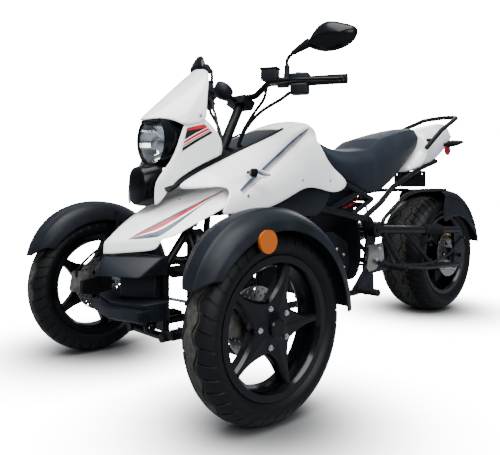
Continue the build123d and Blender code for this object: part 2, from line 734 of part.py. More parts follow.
# Seat and tail
SeatRow = namedtuple("SeatRow", "y half_low half_mid half_top bottom_z mid_z top_z")
SEAT = [
    SeatRow(648, 78, 86, 50, 742, 780, 815),
    SeatRow(740, 100, 122, 80, 706, 735, 770),
    SeatRow(860, 118, 140, 92, 660, 720, 832),
    SeatRow(1000, 120, 140, 96, 622, 730, 862),
    SeatRow(1170, 108, 128, 88, 664, 780, 888),
    SeatRow(1450, 80, 92, 60, 838, 880, 930),
]
SEAT_EDGE = 10
SEAT_SHOULDER = 30
TailRow = namedtuple("TailRow", "y half_low half_mid half_top bottom_z mid_z top_z")
TAIL = [
    TailRow(1335, 76, 90, 60, 706, 720, 738),
    TailRow(SEAT[-1].y + SEAT_REST, 84, 110, 72, 741, 780, 830),
    TailRow(1459, 84, 118, 84, 743, 800, 906),
    TailRow(1600, 84, 112, 70, 780, 850, 948),
    TailRow(1760, 60, 84, 44, 850, 900, 980),
]
RAIL = [(134, 1417, 824), (134, 1560, 920), (96, 1790, 1004), (0, 1812, 1012)]
RAIL_TUBE_R = 11
RAIL_BEND = 40
RAIL_FOOT_Y = 1480
RAIL_FOOT_Z = 866
RAIL_FOOT_R = 8
LightFace = namedtuple("LightFace", "half_low low_z half_top top_z")
LIGHT_BACK = LightFace(52, 868, 36, 940)
LIGHT_FRONT = LightFace(42, 880, 28, 930)
LIGHT_DEPTH = 22
SIGNAL_Y = 1672
SIGNAL_Z = 866
SIGNAL_STALK_R = 7
SIGNAL_X = 146
SIGNAL_TIP = (228, 1700, 860)
SIGNAL_ROOT_SIZE = (26, 15)
SIGNAL_TIP_SIZE = (8, 5)


def ring_section(row, half):
    """A closed section whose right half mirrors the left half's (x, z) points."""
    return flat([P(x, row.y, z) for x, z in mirrored_profile(half)])


def make_seat():
    sections = []
    for row in SEAT:
        half = [(row.half_low, row.bottom_z), (row.half_mid, row.mid_z),
                (row.half_mid - SEAT_EDGE, row.top_z - SEAT_SHOULDER), (row.half_top, row.top_z)]
        sections.append(ring_section(row, half))
    return loft(sections, ruled=True)


def make_tail():
    sections = []
    for row in TAIL:
        half = [(row.half_low, row.bottom_z), (row.half_mid, row.mid_z), (row.half_top, row.top_z)]
        sections.append(ring_section(row, half))
    return loft(sections, ruled=True)


def tail_half(y, z):
    """Half width of the tail's upper wall at a place along it."""
    row = between(TAIL, y)
    share = (z - row.mid_z) / (row.top_z - row.mid_z)
    return row.half_mid + (row.half_top - row.half_mid) * max(share, 0)


def make_grab_rail():
    rail = tube([P(*p) for p in RAIL], RAIL_TUBE_R, RAIL_BEND)
    seat_x = tail_half(RAIL_FOOT_Y - RAIL_FOOT_R, RAIL_FOOT_Z - RAIL_FOOT_R) + SEAT_REST
    foot = rod(P(RAIL[0][0], RAIL_FOOT_Y, RAIL_FOOT_Z), P(seat_x, RAIL_FOOT_Y, RAIL_FOOT_Z), RAIL_FOOT_R)
    return both(rail + foot)


def make_tail_light():
    def face(shape, y):
        return flat([P(-shape.half_low, y, shape.low_z), P(shape.half_low, y, shape.low_z),
                     P(shape.half_top, y, shape.top_z), P(-shape.half_top, y, shape.top_z)])

    back = TAIL[-1].y + SEAT_REST
    return loft([face(LIGHT_BACK, back), face(LIGHT_FRONT, back + LIGHT_DEPTH)], ruled=True)


def make_rear_signals():
    seat_x = tail_half(SIGNAL_Y - SIGNAL_STALK_R, SIGNAL_Z) + SEAT_REST
    stalk = rod(P(seat_x, SIGNAL_Y, SIGNAL_Z), P(SIGNAL_X + SIGNAL_STALK_R, SIGNAL_Y, SIGNAL_Z), SIGNAL_STALK_R)
    root = Plane(P(SIGNAL_X, SIGNAL_Y, SIGNAL_Z), x_dir=(0, 1, 0), z_dir=(1, 0, 0))
    tip = Plane(P(*SIGNAL_TIP), x_dir=(0, 1, 0), z_dir=(1, 0, 0))
    lamp = loft([root * Ellipse(*SIGNAL_ROOT_SIZE), tip * Ellipse(*SIGNAL_TIP_SIZE)])
    return both(stalk + lamp)


# Frame: bent tubes and straight bars, in a front part that carries the wishbones and a main part

SWING_X = 170
TAIL_DROP = (REAR_TUBE_R + SEAT_REST) * math.hypot(1, TAIL_TUBE_LEAN)


def under_tail(y):
    """Height of the rear tubes' middle, so that the tail rests on them."""
    return between(TAIL, y).bottom_z - TAIL_DROP


TAIL_BAR_Z = under_tail(TAIL_BAR_Y)
FrameTube = namedtuple("FrameTube", "radius bend points")
FRONT_TUBES = [
    FrameTube(RAIL_R, 0, [(RAIL_X, BULKHEAD_Y + 2, 165), (RAIL_X, 250, 165)]),
    FrameTube(UPRIGHT_R, 30, [(RAIL_X, -62, 158), (RAIL_X, -62, 385), (104, 20, 500), (60, 150, 620), (20, 208, 700)]),
    FrameTube(RAIL_R, 30, [(RAIL_X, BULKHEAD_Y + 2, UPPER_INNER_Z), (RAIL_X, 250, UPPER_INNER_Z), (RAIL_X, 250, 156)]),
    FrameTube(BAR_TUBE_R, 30, [(RAIL_X, 240, UPPER_INNER_Z), (70, 236, 520), (22, 219, 690)]),
]
MAIN_TUBES = [
    FrameTube(UPRIGHT_R, 60, [(RAIL_X, 253, 165), (RAIL_X, 290, 165), (122, 430, 195), (122, PIVOT_Y - 70, 195),
                              (140, PIVOT_Y - 15, 215)]),
    FrameTube(BEAM_R, 40, [(16, 238, 728), (118, 420, 600), (WINDOW_X, 600, 556), (WINDOW_X, PIVOT_Y - 65, PIVOT_Z + 49),
                           (130, PIVOT_Y - 15, PIVOT_Z + 29)]),
    FrameTube(BAR_TUBE_R, 40, [(64, 330, 652), (110, TANK_BAR_Y, TANK_BAR_Z), (WINDOW_X, 791, 640),
                               (WINDOW_X, SEAT_BAR_Y, SEAT_BAR_Z)]),
    FrameTube(STRUT_R, 0, [(WINDOW_X, 663, 547), (WINDOW_X, 863, 612)]),
    FrameTube(STRUT_R, 0, [(WINDOW_X, 808, 520), (WINDOW_X, SEAT_BAR_Y, SEAT_BAR_Z)]),
    FrameTube(REAR_TUBE_R, 50, [(WINDOW_X, 890, 503), (150, 1010, 566), (100, 1180, 634)]
              + [(x, y, under_tail(y)) for x, y in TAIL_TUBE]),
]
# The straight bars between the two sides: their place, half length and radius
CrossBar = namedtuple("CrossBar", "y z half radius")
FRONT_BARS = [
    CrossBar(-62, 165, RAIL_X, BAR_TUBE_R),
    CrossBar(-62, UPPER_INNER_Z, RAIL_X, BAR_TUBE_R),
    CrossBar(250, 165, RAIL_X, BAR_TUBE_R),
    CrossBar(SHOCK_Y, 500, 99, BAR_TUBE_R),
    CrossBar(PITMAN_Y, UPPER_INNER_Z, RAIL_X, STRUT_R),
]
MAIN_BARS = [
    CrossBar(700, 195, 122, STRUT_R),
    CrossBar(TANK_BAR_Y, TANK_BAR_Z, 110, STRUT_R),
    CrossBar(SEAT_BAR_Y, SEAT_BAR_Z, WINDOW_X, STRUT_R - 1),
    CrossBar(SHOCK_CROSS_Y, SHOCK_CROSS_Z, WINDOW_X, BAR_TUBE_R),
    CrossBar(TAIL_BAR_Y, TAIL_BAR_Z, TAIL_BAR_X, TAIL_BAR_R),
    CrossBar(PIVOT_Y, PIVOT_Z, SWING_X + PIVOT_BOLT_END, PIVOT_BOLT_R),
]
# Outline of the swing arm's carrier plate, from the pivot
PIVOT_PLATE = [(-70, 65), (0, 53), (42, 0), (10, -125), (16, -255), (-45, -277), (-54, -155), (-32, -35)]


def framework(tubes, bars):
    """Tubes on both sides with the bars that join them."""
    shape = None
    for row in tubes:
        points = [P(*p) for p in row.points]
        piece = both(tube(points, row.radius, row.bend) if row.bend else rod(*points, row.radius))
        shape = shape + piece if shape else piece
    for bar in bars:
        shape += rod(P(-bar.half, bar.y, bar.z), P(bar.half, bar.y, bar.z), bar.radius)
    return shape


def make_pivot(y, z):
    """Two ears and a pin that carry one sleeve of a wishbone."""
    reach = SLEEVE_L / 2 + EAR_GAP
    pin_end = Vector(0, reach + EAR_T + EAR_GAP, 0)
    middle = P(ARM_INNER_X, y, z)
    ears = rod(middle - pin_end, middle + pin_end, PIVOT_PIN_R)
    edge_x = ARM_INNER_X + EAR_LIP
    for start in (y - reach - EAR_T, y + reach):
        ears += face_plate([(RAIL_X, z - EAR_HALF), (edge_x, z - EAR_HALF), (edge_x, z + EAR_HALF),
                            (RAIL_X, z + EAR_HALF)], start, start + EAR_T)
    return ears


def make_front_frame():
    frame = framework(FRONT_TUBES, FRONT_BARS)
    half = BULKHEAD_HALF
    frame += face_plate([(-half, BULKHEAD_LOW), (half, BULKHEAD_LOW), (half, BULKHEAD_TOP), (-half, BULKHEAD_TOP)],
                        BULKHEAD_Y, BULKHEAD_Y + BULKHEAD_T)
    for z in (LOWER_INNER_Z, UPPER_INNER_Z):
        for y in ARM_PIVOT_Y:
            frame += both(make_pivot(y, z))
    shock_x = SHOCK_TOP_X - SHOCK_EYE_R - SEAT_REST
    frame += both(rod(P(RAIL_X, SHOCK_Y, SHOCK_TOP_Z), P(shock_x, SHOCK_Y, SHOCK_TOP_Z), SHOCK_PIN_R))
    post_top = hood_under(HOOD_POST_X + HOOD_POST_R, SHOCK_Y - HOOD_POST_R) - SEAT_REST
    frame += both(rod(P(HOOD_POST_X, SHOCK_Y, 500), P(HOOD_POST_X, SHOCK_Y, post_top), HOOD_POST_R))
    frame += rod(P(0, PITMAN_Y, UPPER_INNER_Z - BEARING_HALF), P(0, PITMAN_Y, UPPER_INNER_Z + BEARING_HALF), BEARING_R)
    frame -= rod(P(0, PITMAN_Y, UPPER_INNER_Z - BEARING_HALF * 2), P(0, PITMAN_Y, UPPER_INNER_Z + BEARING_HALF * 2),
                 SHAFT_R + RUN_GAP)
    return frame - rod(on_column(HEAD_Z - HEAD_HALF), on_column(HEAD_Z + HEAD_HALF), HEAD_TUBE_R)


def make_main_frame(front):
    """The part behind, which ends face to face with the front part's tubes."""
    frame = framework(MAIN_TUBES, MAIN_BARS)
    frame += rod(on_column(HEAD_Z - HEAD_HALF), on_column(HEAD_Z + HEAD_HALF), HEAD_TUBE_R)
    plate = [(PIVOT_Y + y, PIVOT_Z + z) for y, z in PIVOT_PLATE]
    frame += both(side_plate(plate, PLATE_X - PLATE_T, PLATE_X, PLATE_CORNER))
    seat_z = between(SEAT, SEAT_BAR_Y + POST_R).bottom_z - SEAT_REST
    frame += both(rod(P(SEAT_POST_X, SEAT_BAR_Y, SEAT_BAR_Z), P(SEAT_POST_X, SEAT_BAR_Y, seat_z), POST_R))
    tank_z = between(TANK, TANK_BAR_Y - POST_R).bottom_z - SEAT_REST
    frame += both(rod(P(TANK_POST_X, TANK_BAR_Y, TANK_BAR_Z), P(TANK_POST_X, TANK_BAR_Y, tank_z), POST_R))
    frame += Pos(P(0, SHELL_BACK + SEAT_REST + LAMP_BRACKET[1] / 2, LAMP_BRACKET_Z)) * Box(*LAMP_BRACKET)
    frame -= rod(on_column(HEAD_Z - HEAD_HALF * 1.5), on_column(HEAD_Z + HEAD_HALF * 1.5), STEM_R + RUN_GAP)
    return frame - front


# Engine and exhaust

CRANKCASE = [(500, 240), (820, 232), (872, 300), (860, 400), (760, 452), (600, 446), (500, 380)]
CASE_HALF = 92
CASE_CORNER = 18
Cover = namedtuple("Cover", "side y z radius depth")
CASE_COVERS = [Cover(1, 640, 330, 84, 20), Cover(1, 770, 330, 58, 14), Cover(-1, 660, 335, 92, 20)]
BARREL_Y = 600
BARREL_Z = 430
BARREL_LEAN_DEG = 33.2
BARREL_W = 96
BARREL_L = 190
BARREL_SINK = 15
FIN_COUNT = 7
FIN_W = 134
FIN_T = 6
FIN_PITCH = 15
FIN_START = 24
FOOT_Y = (560, 780)
FOOT_X = CASE_HALF + 8
FOOT_SIZE = (34, 40, 40)
PORT_H = 149
PORT_RUN = 50
PIPE_R = 19
PIPE_BEND = 32
PIPE = [(-70, 412, 450), (-150, 450, 320), (-174, 560, 236), (-174, 1000, 236), (-244, 1120, 326)]
MUFFLER = [(-244, 1110, 323), (-252, 1420, 405)]
MUFFLER_R = 46
TAIL_PIPE = [(-252, 1415, 404), (-253, 1460, 416)]
TAIL_PIPE_R = 20

# Chain drive
CHAIN_X = -128
CHAIN_W = 12
CHAIN_H = 12
DRIVE_Y = 830
DRIVE_Z = 340
DRIVE_PITCH_R = 34
SPROCKET_PITCH_R = 92
SPROCKET_T = 6


def barrel_plane():
    lean = math.radians(BARREL_LEAN_DEG)
    return Plane(P(0, BARREL_Y, BARREL_Z), x_dir=(1, 0, 0), z_dir=(0, -math.sin(lean), math.cos(lean)))


def make_engine():
    engine = side_plate(CRANKCASE, -CASE_HALF, CASE_HALF, CASE_CORNER)
    for cover in CASE_COVERS:
        engine += rod(P(cover.side * CASE_HALF, cover.y, cover.z),
                      P(cover.side * (CASE_HALF + cover.depth), cover.y, cover.z), cover.radius)
    barrel = barrel_plane()
    engine += barrel * Pos(0, 0, BARREL_L / 2 - BARREL_SINK) * Box(BARREL_W, BARREL_W, BARREL_L)
    for k in range(FIN_COUNT):
        engine += barrel * Pos(0, 0, FIN_START + k * FIN_PITCH) * Box(FIN_W, FIN_W, FIN_T)
    nose_r = DRIVE_PITCH_R - CHAIN_H / 2 - SEAT_REST
    engine += rod(P(-CASE_HALF, DRIVE_Y, DRIVE_Z), P(CHAIN_X - BOSS_GAP, DRIVE_Y, DRIVE_Z), nose_r)
    foot_z = MAIN_TUBES[0].points[2][2] + UPRIGHT_R + SEAT_REST + FOOT_SIZE[2] / 2
    for y in FOOT_Y:
        engine += both(Pos(P(FOOT_X, y, foot_z)) * Box(*FOOT_SIZE))
    return engine


def make_exhaust():
    barrel = barrel_plane()
    port = barrel.from_local_coords(Vector(0, -BARREL_W / 2 - SEAT_REST, PORT_H))
    bend = barrel.from_local_coords(Vector(0, -BARREL_W / 2 - PORT_RUN, PORT_H))
    pipe = tube([port, bend] + [P(*p) for p in PIPE], PIPE_R, PIPE_BEND)
    muffler = rod(*[P(*p) for p in MUFFLER], MUFFLER_R) + rod(*[P(*p) for p in TAIL_PIPE], TAIL_PIPE_R)
    return pipe + muffler


def make_chain():
    """The chain's loop round the small and the large sprocket."""
    x = CHAIN_X - CHAIN_W / 2
    front = P(x, DRIVE_Y, DRIVE_Z)
    rear = Vector(x, REAR_HUB.Y, REAR_HUB.Z)
    dy = rear.Y - front.Y
    dz = rear.Z - front.Z
    base = math.atan2(dz, dy)
    shapes = []
    for grow in (CHAIN_H / 2, -CHAIN_H / 2):
        small = DRIVE_PITCH_R + grow
        large = SPROCKET_PITCH_R + grow
        lean = math.asin((small - large) / math.hypot(dy, dz))
        points = []
        for sign in (1, -1):
            a = base + sign * (math.pi / 2 - lean)
            points.append((front + Vector(0, small * math.cos(a), small * math.sin(a)),
                           rear + Vector(0, large * math.cos(a), large * math.sin(a))))
        nose = front - Vector(0, small * math.cos(base), small * math.sin(base))
        tail = rear + Vector(0, large * math.cos(base), large * math.sin(base))
        (top_f, top_r), (low_f, low_r) = points
        wire = [Line(top_f, top_r), ThreePointArc(top_r, tail, low_r), Line(low_r, low_f),
                ThreePointArc(low_f, nose, top_f)]
        shapes.append(extrude(make_face(wire), CHAIN_W, dir=(1, 0, 0)))
    return shapes[0] - shapes[1]


def make_sprocket():
    inner_r = HUB_NECK_R + RUN_GAP
    outer_r = SPROCKET_PITCH_R - CHAIN_H / 2 - SEAT_REST
    x0 = CHAIN_X - SPROCKET_T / 2
    x1 = CHAIN_X + SPROCKET_T / 2
    return spun([(x0, inner_r), (x0, outer_r), (x1, outer_r), (x1, inner_r)], REAR_HUB)


# Rear end: places along the swing arm are shares of the way from its pivot to the rear axle

def along(share):
    return PIVOT_Y + (WHEELBASE - PIVOT_Y) * share


SWING_R = 18
SWING_LOW_R = 14
SWING_BEND = 60
SWING_BRACE_R = 11
SWING_PLATE_T = 16
SWING_PLATE_CORNER = 10
SLEEVE_OUT = 12
PIVOT_SLEEVE_R = 30
SWING_TOP = [(0, PIVOT_Z), (0.76, 428), (0.99, 420)]
SWING_LOW = [(0.07, 440), (0.26, 290), (0.55, 262), (0.99, 250)]
SWING_BRACE = [(0.3, 446), (0.65, 262)]
# Outline of the axle plate, back from the axle and up from the floor
AXLE_PLATE = [(-58, 440), (12, 430), (64, 330), (52, 250), (-58, 232), (-38, 330)]
AXLE_END = 24
SWING_BRIDGE_BACK = 105
SWING_BRIDGE_R = 16
BANJO_L = 12
REAR_SHOCK_R = 34
REAR_SHOCK_ROD_R = 12
REAR_SHOCK_HEAD = 40
REAR_SHOCK_TAIL = 50
FENDER_STAY_R = 9
FENDER_STAY_BEND = 30
FENDER_STAY_FOOT = 50
FENDER_STAY_RISE = 30
StayPoint = namedtuple("StayPoint", "x share below")
FENDER_STAY = [StayPoint(146, 0.39, 22), StayPoint(112, 0.67, 4), StayPoint(108, 0.99, 8)]
PLATE_HOLE_R = 3.5
PLATE_HOLES = 145
PLATE_HOLE_DROP = 16
NUMBER_PLATE_HALF = 90
NUMBER_PLATE_LOW = 636
NUMBER_PLATE_TOP = 716
NUMBER_PLATE_Y = 1480
NUMBER_PLATE_T = 4
NUMBER_PLATE_CORNER = 6
HOOK_X = (36, 44)
HOOK_OVERLAP = 26
HOOK_REACH = (6, -8)
HANGER_X = 200
HANGER_T = 6
# Outline of the foot-peg carrier, from the swing arm's pivot
HANGER = [(1, -51), (-90, -57), (-111, -148), (-200, -229), (-138, -239), (-60, -175), (54, -169), (54, -137), (12, -119)]
HANGER_PINS = [(-20, -75), (-40, -120)]
HANGER_PIN_R = 10
PEGS = [(-165, -229), (35, -153)]
PEG_R = 14
PEG_L = 97


def swing_z(y):
    """Height of the upper tube's middle on its long straight run."""
    (_, z0), (share, z1) = SWING_TOP[:2]
    return z0 + (z1 - z0) * (y - PIVOT_Y) / (along(share) - PIVOT_Y)


BRIDGE_Y = PIVOT_Y + SWING_BRIDGE_BACK
BRIDGE_Z = swing_z(BRIDGE_Y)


def make_swing_arm():
    side = rod(P(SWING_X - SWING_R, PIVOT_Y, PIVOT_Z), P(SWING_X + SLEEVE_OUT, PIVOT_Y, PIVOT_Z), PIVOT_SLEEVE_R)
    side += tube([P(SWING_X, along(s), z) for s, z in SWING_TOP], SWING_R, SWING_BEND)
    side += tube([P(SWING_X, along(s), z) for s, z in SWING_LOW], SWING_LOW_R, SWING_BEND)
    plate_in = SWING_X - SWING_PLATE_T / 2
    plate_out = SWING_X + SWING_PLATE_T / 2
    plate = [(WHEELBASE + y, z) for y, z in AXLE_PLATE]
    side += side_plate(plate, plate_in, plate_out, SWING_PLATE_CORNER)
    side += rod(*[P(SWING_X, along(s), z) for s, z in SWING_BRACE], SWING_BRACE_R)
    arm = both(side)
    arm += rod(P(-SWING_X, BRIDGE_Y, BRIDGE_Z), P(SWING_X, BRIDGE_Y, BRIDGE_Z), SWING_BRIDGE_R)
    caliper_x = REAR_DISC_X + DISC_T / 2 + PAD_GAP + CALIPER_SIDE_T + SEAT_REST
    arm += rod(P(caliper_x, BOSS_PIN_Y, BOSS_PIN_Z), P(plate_out + BANJO_L, BOSS_PIN_Y, BOSS_PIN_Z), BOSS_PIN_R)
    axle = Vector(SWING_X + AXLE_END, 0, 0)
    arm += rod(REAR_HUB - axle, REAR_HUB + axle, REAR.bore_r - RUN_GAP)
    pivot = Vector(SWING_X + PIVOT_SLEEVE_R, 0, 0)
    arm -= rod(P(0, PIVOT_Y, PIVOT_Z) - pivot, P(0, PIVOT_Y, PIVOT_Z) + pivot, PIVOT_BOLT_R + RUN_GAP)
    return arm


def make_rear_shock():
    top = P(0, SHOCK_CROSS_Y, SHOCK_CROSS_Z)
    foot = P(0, BRIDGE_Y, BRIDGE_Z)
    axis = (foot - top).normalized()
    body = rod(top + axis * (BAR_TUBE_R + SEAT_REST), foot - axis * (SWING_BRIDGE_R + SEAT_REST), REAR_SHOCK_ROD_R)
    body += rod(top + axis * REAR_SHOCK_HEAD, foot - axis * REAR_SHOCK_TAIL, REAR_SHOCK_R)
    return body


def make_rear_fender():
    half = [(edge.x, REAR_FENDER_R - edge.below) for edge in REAR_FENDER_SKIN]
    outer = mirrored_profile(half)
    inner = [(x * 0.96, r - FENDER_T) for x, r in reversed(outer)]
    shell = spun(outer + inner, REAR_HUB, REAR_FENDER_END_DEG - 90, REAR_FENDER_TOP_DEG - REAR_FENDER_END_DEG)
    foot_y = PIVOT_Y + FENDER_STAY_FOOT
    seat_z = swing_z(foot_y) + SWING_R + SEAT_REST
    crown_z = REAR_HUB_Z + REAR_FENDER_R
    points = [P(SWING_X, foot_y, seat_z), P(SWING_X, foot_y, seat_z + FENDER_STAY_RISE)]
    points += [P(p.x, along(p.share), crown_z - p.below) for p in FENDER_STAY]
    return shell + both(tube(points, FENDER_STAY_R, FENDER_STAY_BEND))


def make_plate_holder():
    """A blank plate hung under the tail, with its two bolt holes."""
    half = NUMBER_PLATE_HALF
    front = NUMBER_PLATE_Y
    back = front + NUMBER_PLATE_T
    plate = face_plate([(-half, NUMBER_PLATE_LOW), (half, NUMBER_PLATE_LOW), (half, NUMBER_PLATE_TOP),
                        (-half, NUMBER_PLATE_TOP)], front, back, NUMBER_PLATE_CORNER)
    hole_z = NUMBER_PLATE_TOP - PLATE_HOLE_DROP
    for x in (-PLATE_HOLES / 2, PLATE_HOLES / 2):
        plate -= rod(P(x, front - NUMBER_PLATE_T, hole_z), P(x, back + NUMBER_PLATE_T, hole_z), PLATE_HOLE_R)
    hook_z = TAIL_BAR_Z - TAIL_BAR_R - SEAT_REST
    low = NUMBER_PLATE_TOP - HOOK_OVERLAP
    hook = [(front, low), (back, low)] + [(TAIL_BAR_Y + reach, hook_z) for reach in HOOK_REACH]
    return plate + both(side_plate(hook, *HOOK_X))


def make_foot_hangers():
    outline = [(PIVOT_Y + y, PIVOT_Z + z) for y, z in HANGER]
    plate = side_plate(outline, HANGER_X - HANGER_T / 2, HANGER_X + HANGER_T / 2)
    for y, z in HANGER_PINS:
        plate += rod(P(PLATE_X + SEAT_REST, PIVOT_Y + y, PIVOT_Z + z), P(HANGER_X, PIVOT_Y + y, PIVOT_Z + z), HANGER_PIN_R)
    return both(plate)


def make_foot_pegs():
    x0 = HANGER_X + HANGER_T / 2 + SEAT_REST
    pegs = [rod(P(x0, PIVOT_Y + y, PIVOT_Z + z), P(x0 + PEG_L, PIVOT_Y + y, PIVOT_Z + z), PEG_R) for y, z in PEGS]
    return both(pegs[0] + pegs[1])


# Route of the rear brake hose between its two ends
HOSE_WAY = [(184, 1620, 352), (196, 1545, 318), (201, 1440, 293), (202, 1320, 284), (202, 1210, 288), (201, 1105, 298)]


def make_rear_hose():
    """The hose from the caliper's banjo bolt, drooping along the swing arm to the left foot-peg carrier."""
    banjo = P(SWING_X + SWING_PLATE_T / 2 + BANJO_L / 2, BOSS_PIN_Y, BOSS_PIN_Z)
    start = banjo + (P(*HOSE_WAY[0]) - banjo).normalized() * (BOSS_PIN_R + SEAT_REST)
    end_y = PIVOT_Y + HANGER[6][0] + SEAT_REST
    end_z = PIVOT_Z + (HANGER[6][1] + HANGER[7][1]) / 2
    points = [start] + [P(*p) for p in HOSE_WAY] + [P(HANGER_X, end_y, end_z)]
    radii = []
    for a, b, c in zip(points, points[1:], points[2:]):
        half_turn = math.radians((b - a).get_angle(c - b)) / 2
        radii.append(0.45 * min((b - a).length, (c - b).length) / math.tan(half_turn))
    print("hose bend radii", [round(r) for r in radii])
    return tube(points, HOSE_R, radii)


# Controls

def make_handlebar():
    """The stem, its top clamp and the bent bar."""
    stem = rod(on_column(KNEE_Z + KNEE_GAP), on_column(CLAMP_Z), STEM_R)
    clamp = Plane(on_column(CLAMP_Z), x_dir=(1, 0, 0), z_dir=(0, math.sin(RAKE), math.cos(RAKE)))
    stem += clamp * Pos(0, 0, CLAMP_RISE) * Box(CLAMP_W, CLAMP_HALF * 2, CLAMP_H)
    bar = tube([P(0, CLAMP_Y + BAR_BACK, CLAMP_Z + BAR_RISE), P(BAR_FLAT_X, CLAMP_Y + BAR_BACK, CLAMP_Z + BAR_RISE),
                P(BAR_BEND_X, CLAMP_Y, BAR_Z), P(BAR_END_X, BAR_END_Y, BAR_Z)], BAR_R, BAR_BEND)
    return stem + both(bar)


def bar_point(share):
    """A point along the straight outer stretch of the bar, 0 at its bend and 1 at its end."""
    return P(BAR_BEND_X + (BAR_END_X - BAR_BEND_X) * share, CLAMP_Y + (BAR_END_Y - CLAMP_Y) * share, BAR_Z)


def sleeve(a, b, radius):
    return rod(bar_point(a), bar_point(b), radius) - rod(bar_point(a - 0.2), bar_point(b + 0.2), BAR_R + RUN_GAP)


def make_grips():
    return both(sleeve(0.52, 1.02, GRIP_R))


def make_switchgear():
    return both(sleeve(0.32, 0.5, SWITCH_R))


def make_levers():
    """Brake lever with its perch and fluid reservoir."""
    perch = sleeve(0.12, 0.28, PERCH_R)
    reservoir = Pos(bar_point(0.18) + Vector(*RESERVOIR_SHIFT)) * Box(*RESERVOIR)
    reservoir -= rod(bar_point(-0.2), bar_point(0.6), BAR_R + RUN_GAP)
    ends = [bar_point(share) + Vector(*shift) for share, shift in zip((0.2, 0.42, 0.98), LEVER_SHIFT)]
    return both(perch + reservoir + tube(ends, LEVER_R, LEVER_BEND))


def mirror_plane(back):
    """The plane between a mirror's shell and its glass, moved back towards the rider."""
    facing = Vector(*MIRROR_FACING).normalized()
    return Plane(P(*MIRROR_PLACE) - facing * back, x_dir=MIRROR_ALONG, z_dir=facing)


def make_mirrors():
    foot = bar_point(MIRROR_SHARE) + Vector(0, 0, SWITCH_R + SEAT_REST)
    knee = Vector(foot.X, foot.Y, foot.Z + MIRROR_BEND * 2)
    stem = tube([foot, knee] + [P(*p) for p in MIRROR_STEM], MIRROR_STEM_R, MIRROR_BEND)
    head = extrude(mirror_plane(0) * RectangleRounded(*MIRROR_SIZE, MIRROR_CORNER), MIRROR_DEPTH, taper=MIRROR_TAPER_DEG)
    return both(stem + head)


def make_mirror_glass():
    width, height = MIRROR_SIZE
    face = RectangleRounded(width - GLASS_INSET * 2, height - GLASS_INSET * 2, MIRROR_CORNER - GLASS_INSET)
    return both(extrude(mirror_plane(SEAT_REST) * face, -GLASS_T))


def make_dash():
    """The instrument pod in front of the clamp."""
    middle = on_column(CLAMP_Z + DASH_RISE, -DASH_AHEAD)
    pod = Pos(middle) * Rot(X=DASH_TILT_DEG) * Box(*DASH_SIZE)
    return pod + rod(middle, on_column(CLAMP_Z + DASH_RISE, -CLAMP_HALF - SEAT_REST), DASH_STALK_R)


# Assembly

def build():
    front_rim = make_rim(FRONT, FRONT_HUB, True)
    front_tyre = make_tyre(FRONT, FRONT_HUB)
    front_disc = make_disc(FRONT_HUB, FRONT_DISC_X, FRONT_DISC_R)
    knuckle = make_knuckle()
    caliper = make_caliper(FRONT_HUB, FRONT_DISC_X, FRONT_DISC_R, FRONT_CALIPER_DEG, FRONT_CALIPER_L)
    fender = make_fender()
    reflector = make_reflector()
    front_frame = make_front_frame()
    nodes = {
        "front_frame": front_frame,
        "frame": make_main_frame(front_frame),
        "engine": make_engine(),
        "exhaust": make_exhaust(),
        "lower_arms": both(make_arm(LOWER_ARM)),
        "upper_arms": both(make_arm(UPPER_ARM)),
        "front_shocks": both(make_shock()),
        "bumper": make_bumper(),
        "hood": make_hood(),
        "headlight_cheeks": make_cheeks(),
        "visor": make_visor(),
        "headlight_shell": make_headlight_shell(),
        "headlight_lens": make_lens(),
        "tank_cover": make_tank_cover(),
        "tank_top": make_tank_top(),
        "side_panels": make_side_panels(),
        "seat": make_seat(),
        "tail_cowl": make_tail(),
        "grab_rail": make_grab_rail(),
        "tail_light": make_tail_light(),
        "rear_signals": make_rear_signals(),
        "swing_arm": make_swing_arm(),
        "rear_shock": make_rear_shock(),
        "rear_fender": make_rear_fender(),
        "rear_brake_hose": make_rear_hose(),
        "plate_holder": make_plate_holder(),
        "foot_hangers": make_foot_hangers(),
        "foot_pegs": make_foot_pegs(),
        "chain": make_chain(),
        "rear_caliper": make_caliper(REAR_HUB, REAR_DISC_X, REAR_DISC_R, REAR_CALIPER_DEG, REAR_CALIPER_L),
        "steering_shaft": make_steering_shaft(),
        "handlebar": make_handlebar(),
        "grips": make_grips(),
        "switchgear": make_switchgear(),
        "levers": make_levers(),
        "mirrors": make_mirrors(),
        "mirror_glass": make_mirror_glass(),
        "dash": make_dash(),
        "rear_rim": make_rim(REAR, REAR_HUB, False),
        "rear_tyre": make_tyre(REAR, REAR_HUB),
        "rear_disc": make_disc(REAR_HUB, REAR_DISC_X, REAR_DISC_R),
        "rear_sprocket": make_sprocket(),
        "tie_rod_left": make_tie_rod(1),
        "tie_rod_right": make_tie_rod(-1),
    }
    for side in ("left", "right"):
        for name, shape in (("front_rim", front_rim), ("front_tyre", front_tyre), ("front_disc", front_disc),
                            ("knuckle", knuckle), ("front_caliper", caliper), ("front_fender", fender),
                            ("side_reflector", reflector)):
            nodes[f"{name}_{side}"] = shape if side == "left" else other_side(shape)
    return nodes


os.makedirs("parts", exist_ok=True)
for node, shape in build().items():
    export_step(shape, f"parts/{node}.step")
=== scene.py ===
import math

import bmesh
import bpy
import numpy as np
from mathutils import Matrix, Vector
from mathutils.bvhtree import BVHTree
from mathutils.geometry import tessellate_polygon


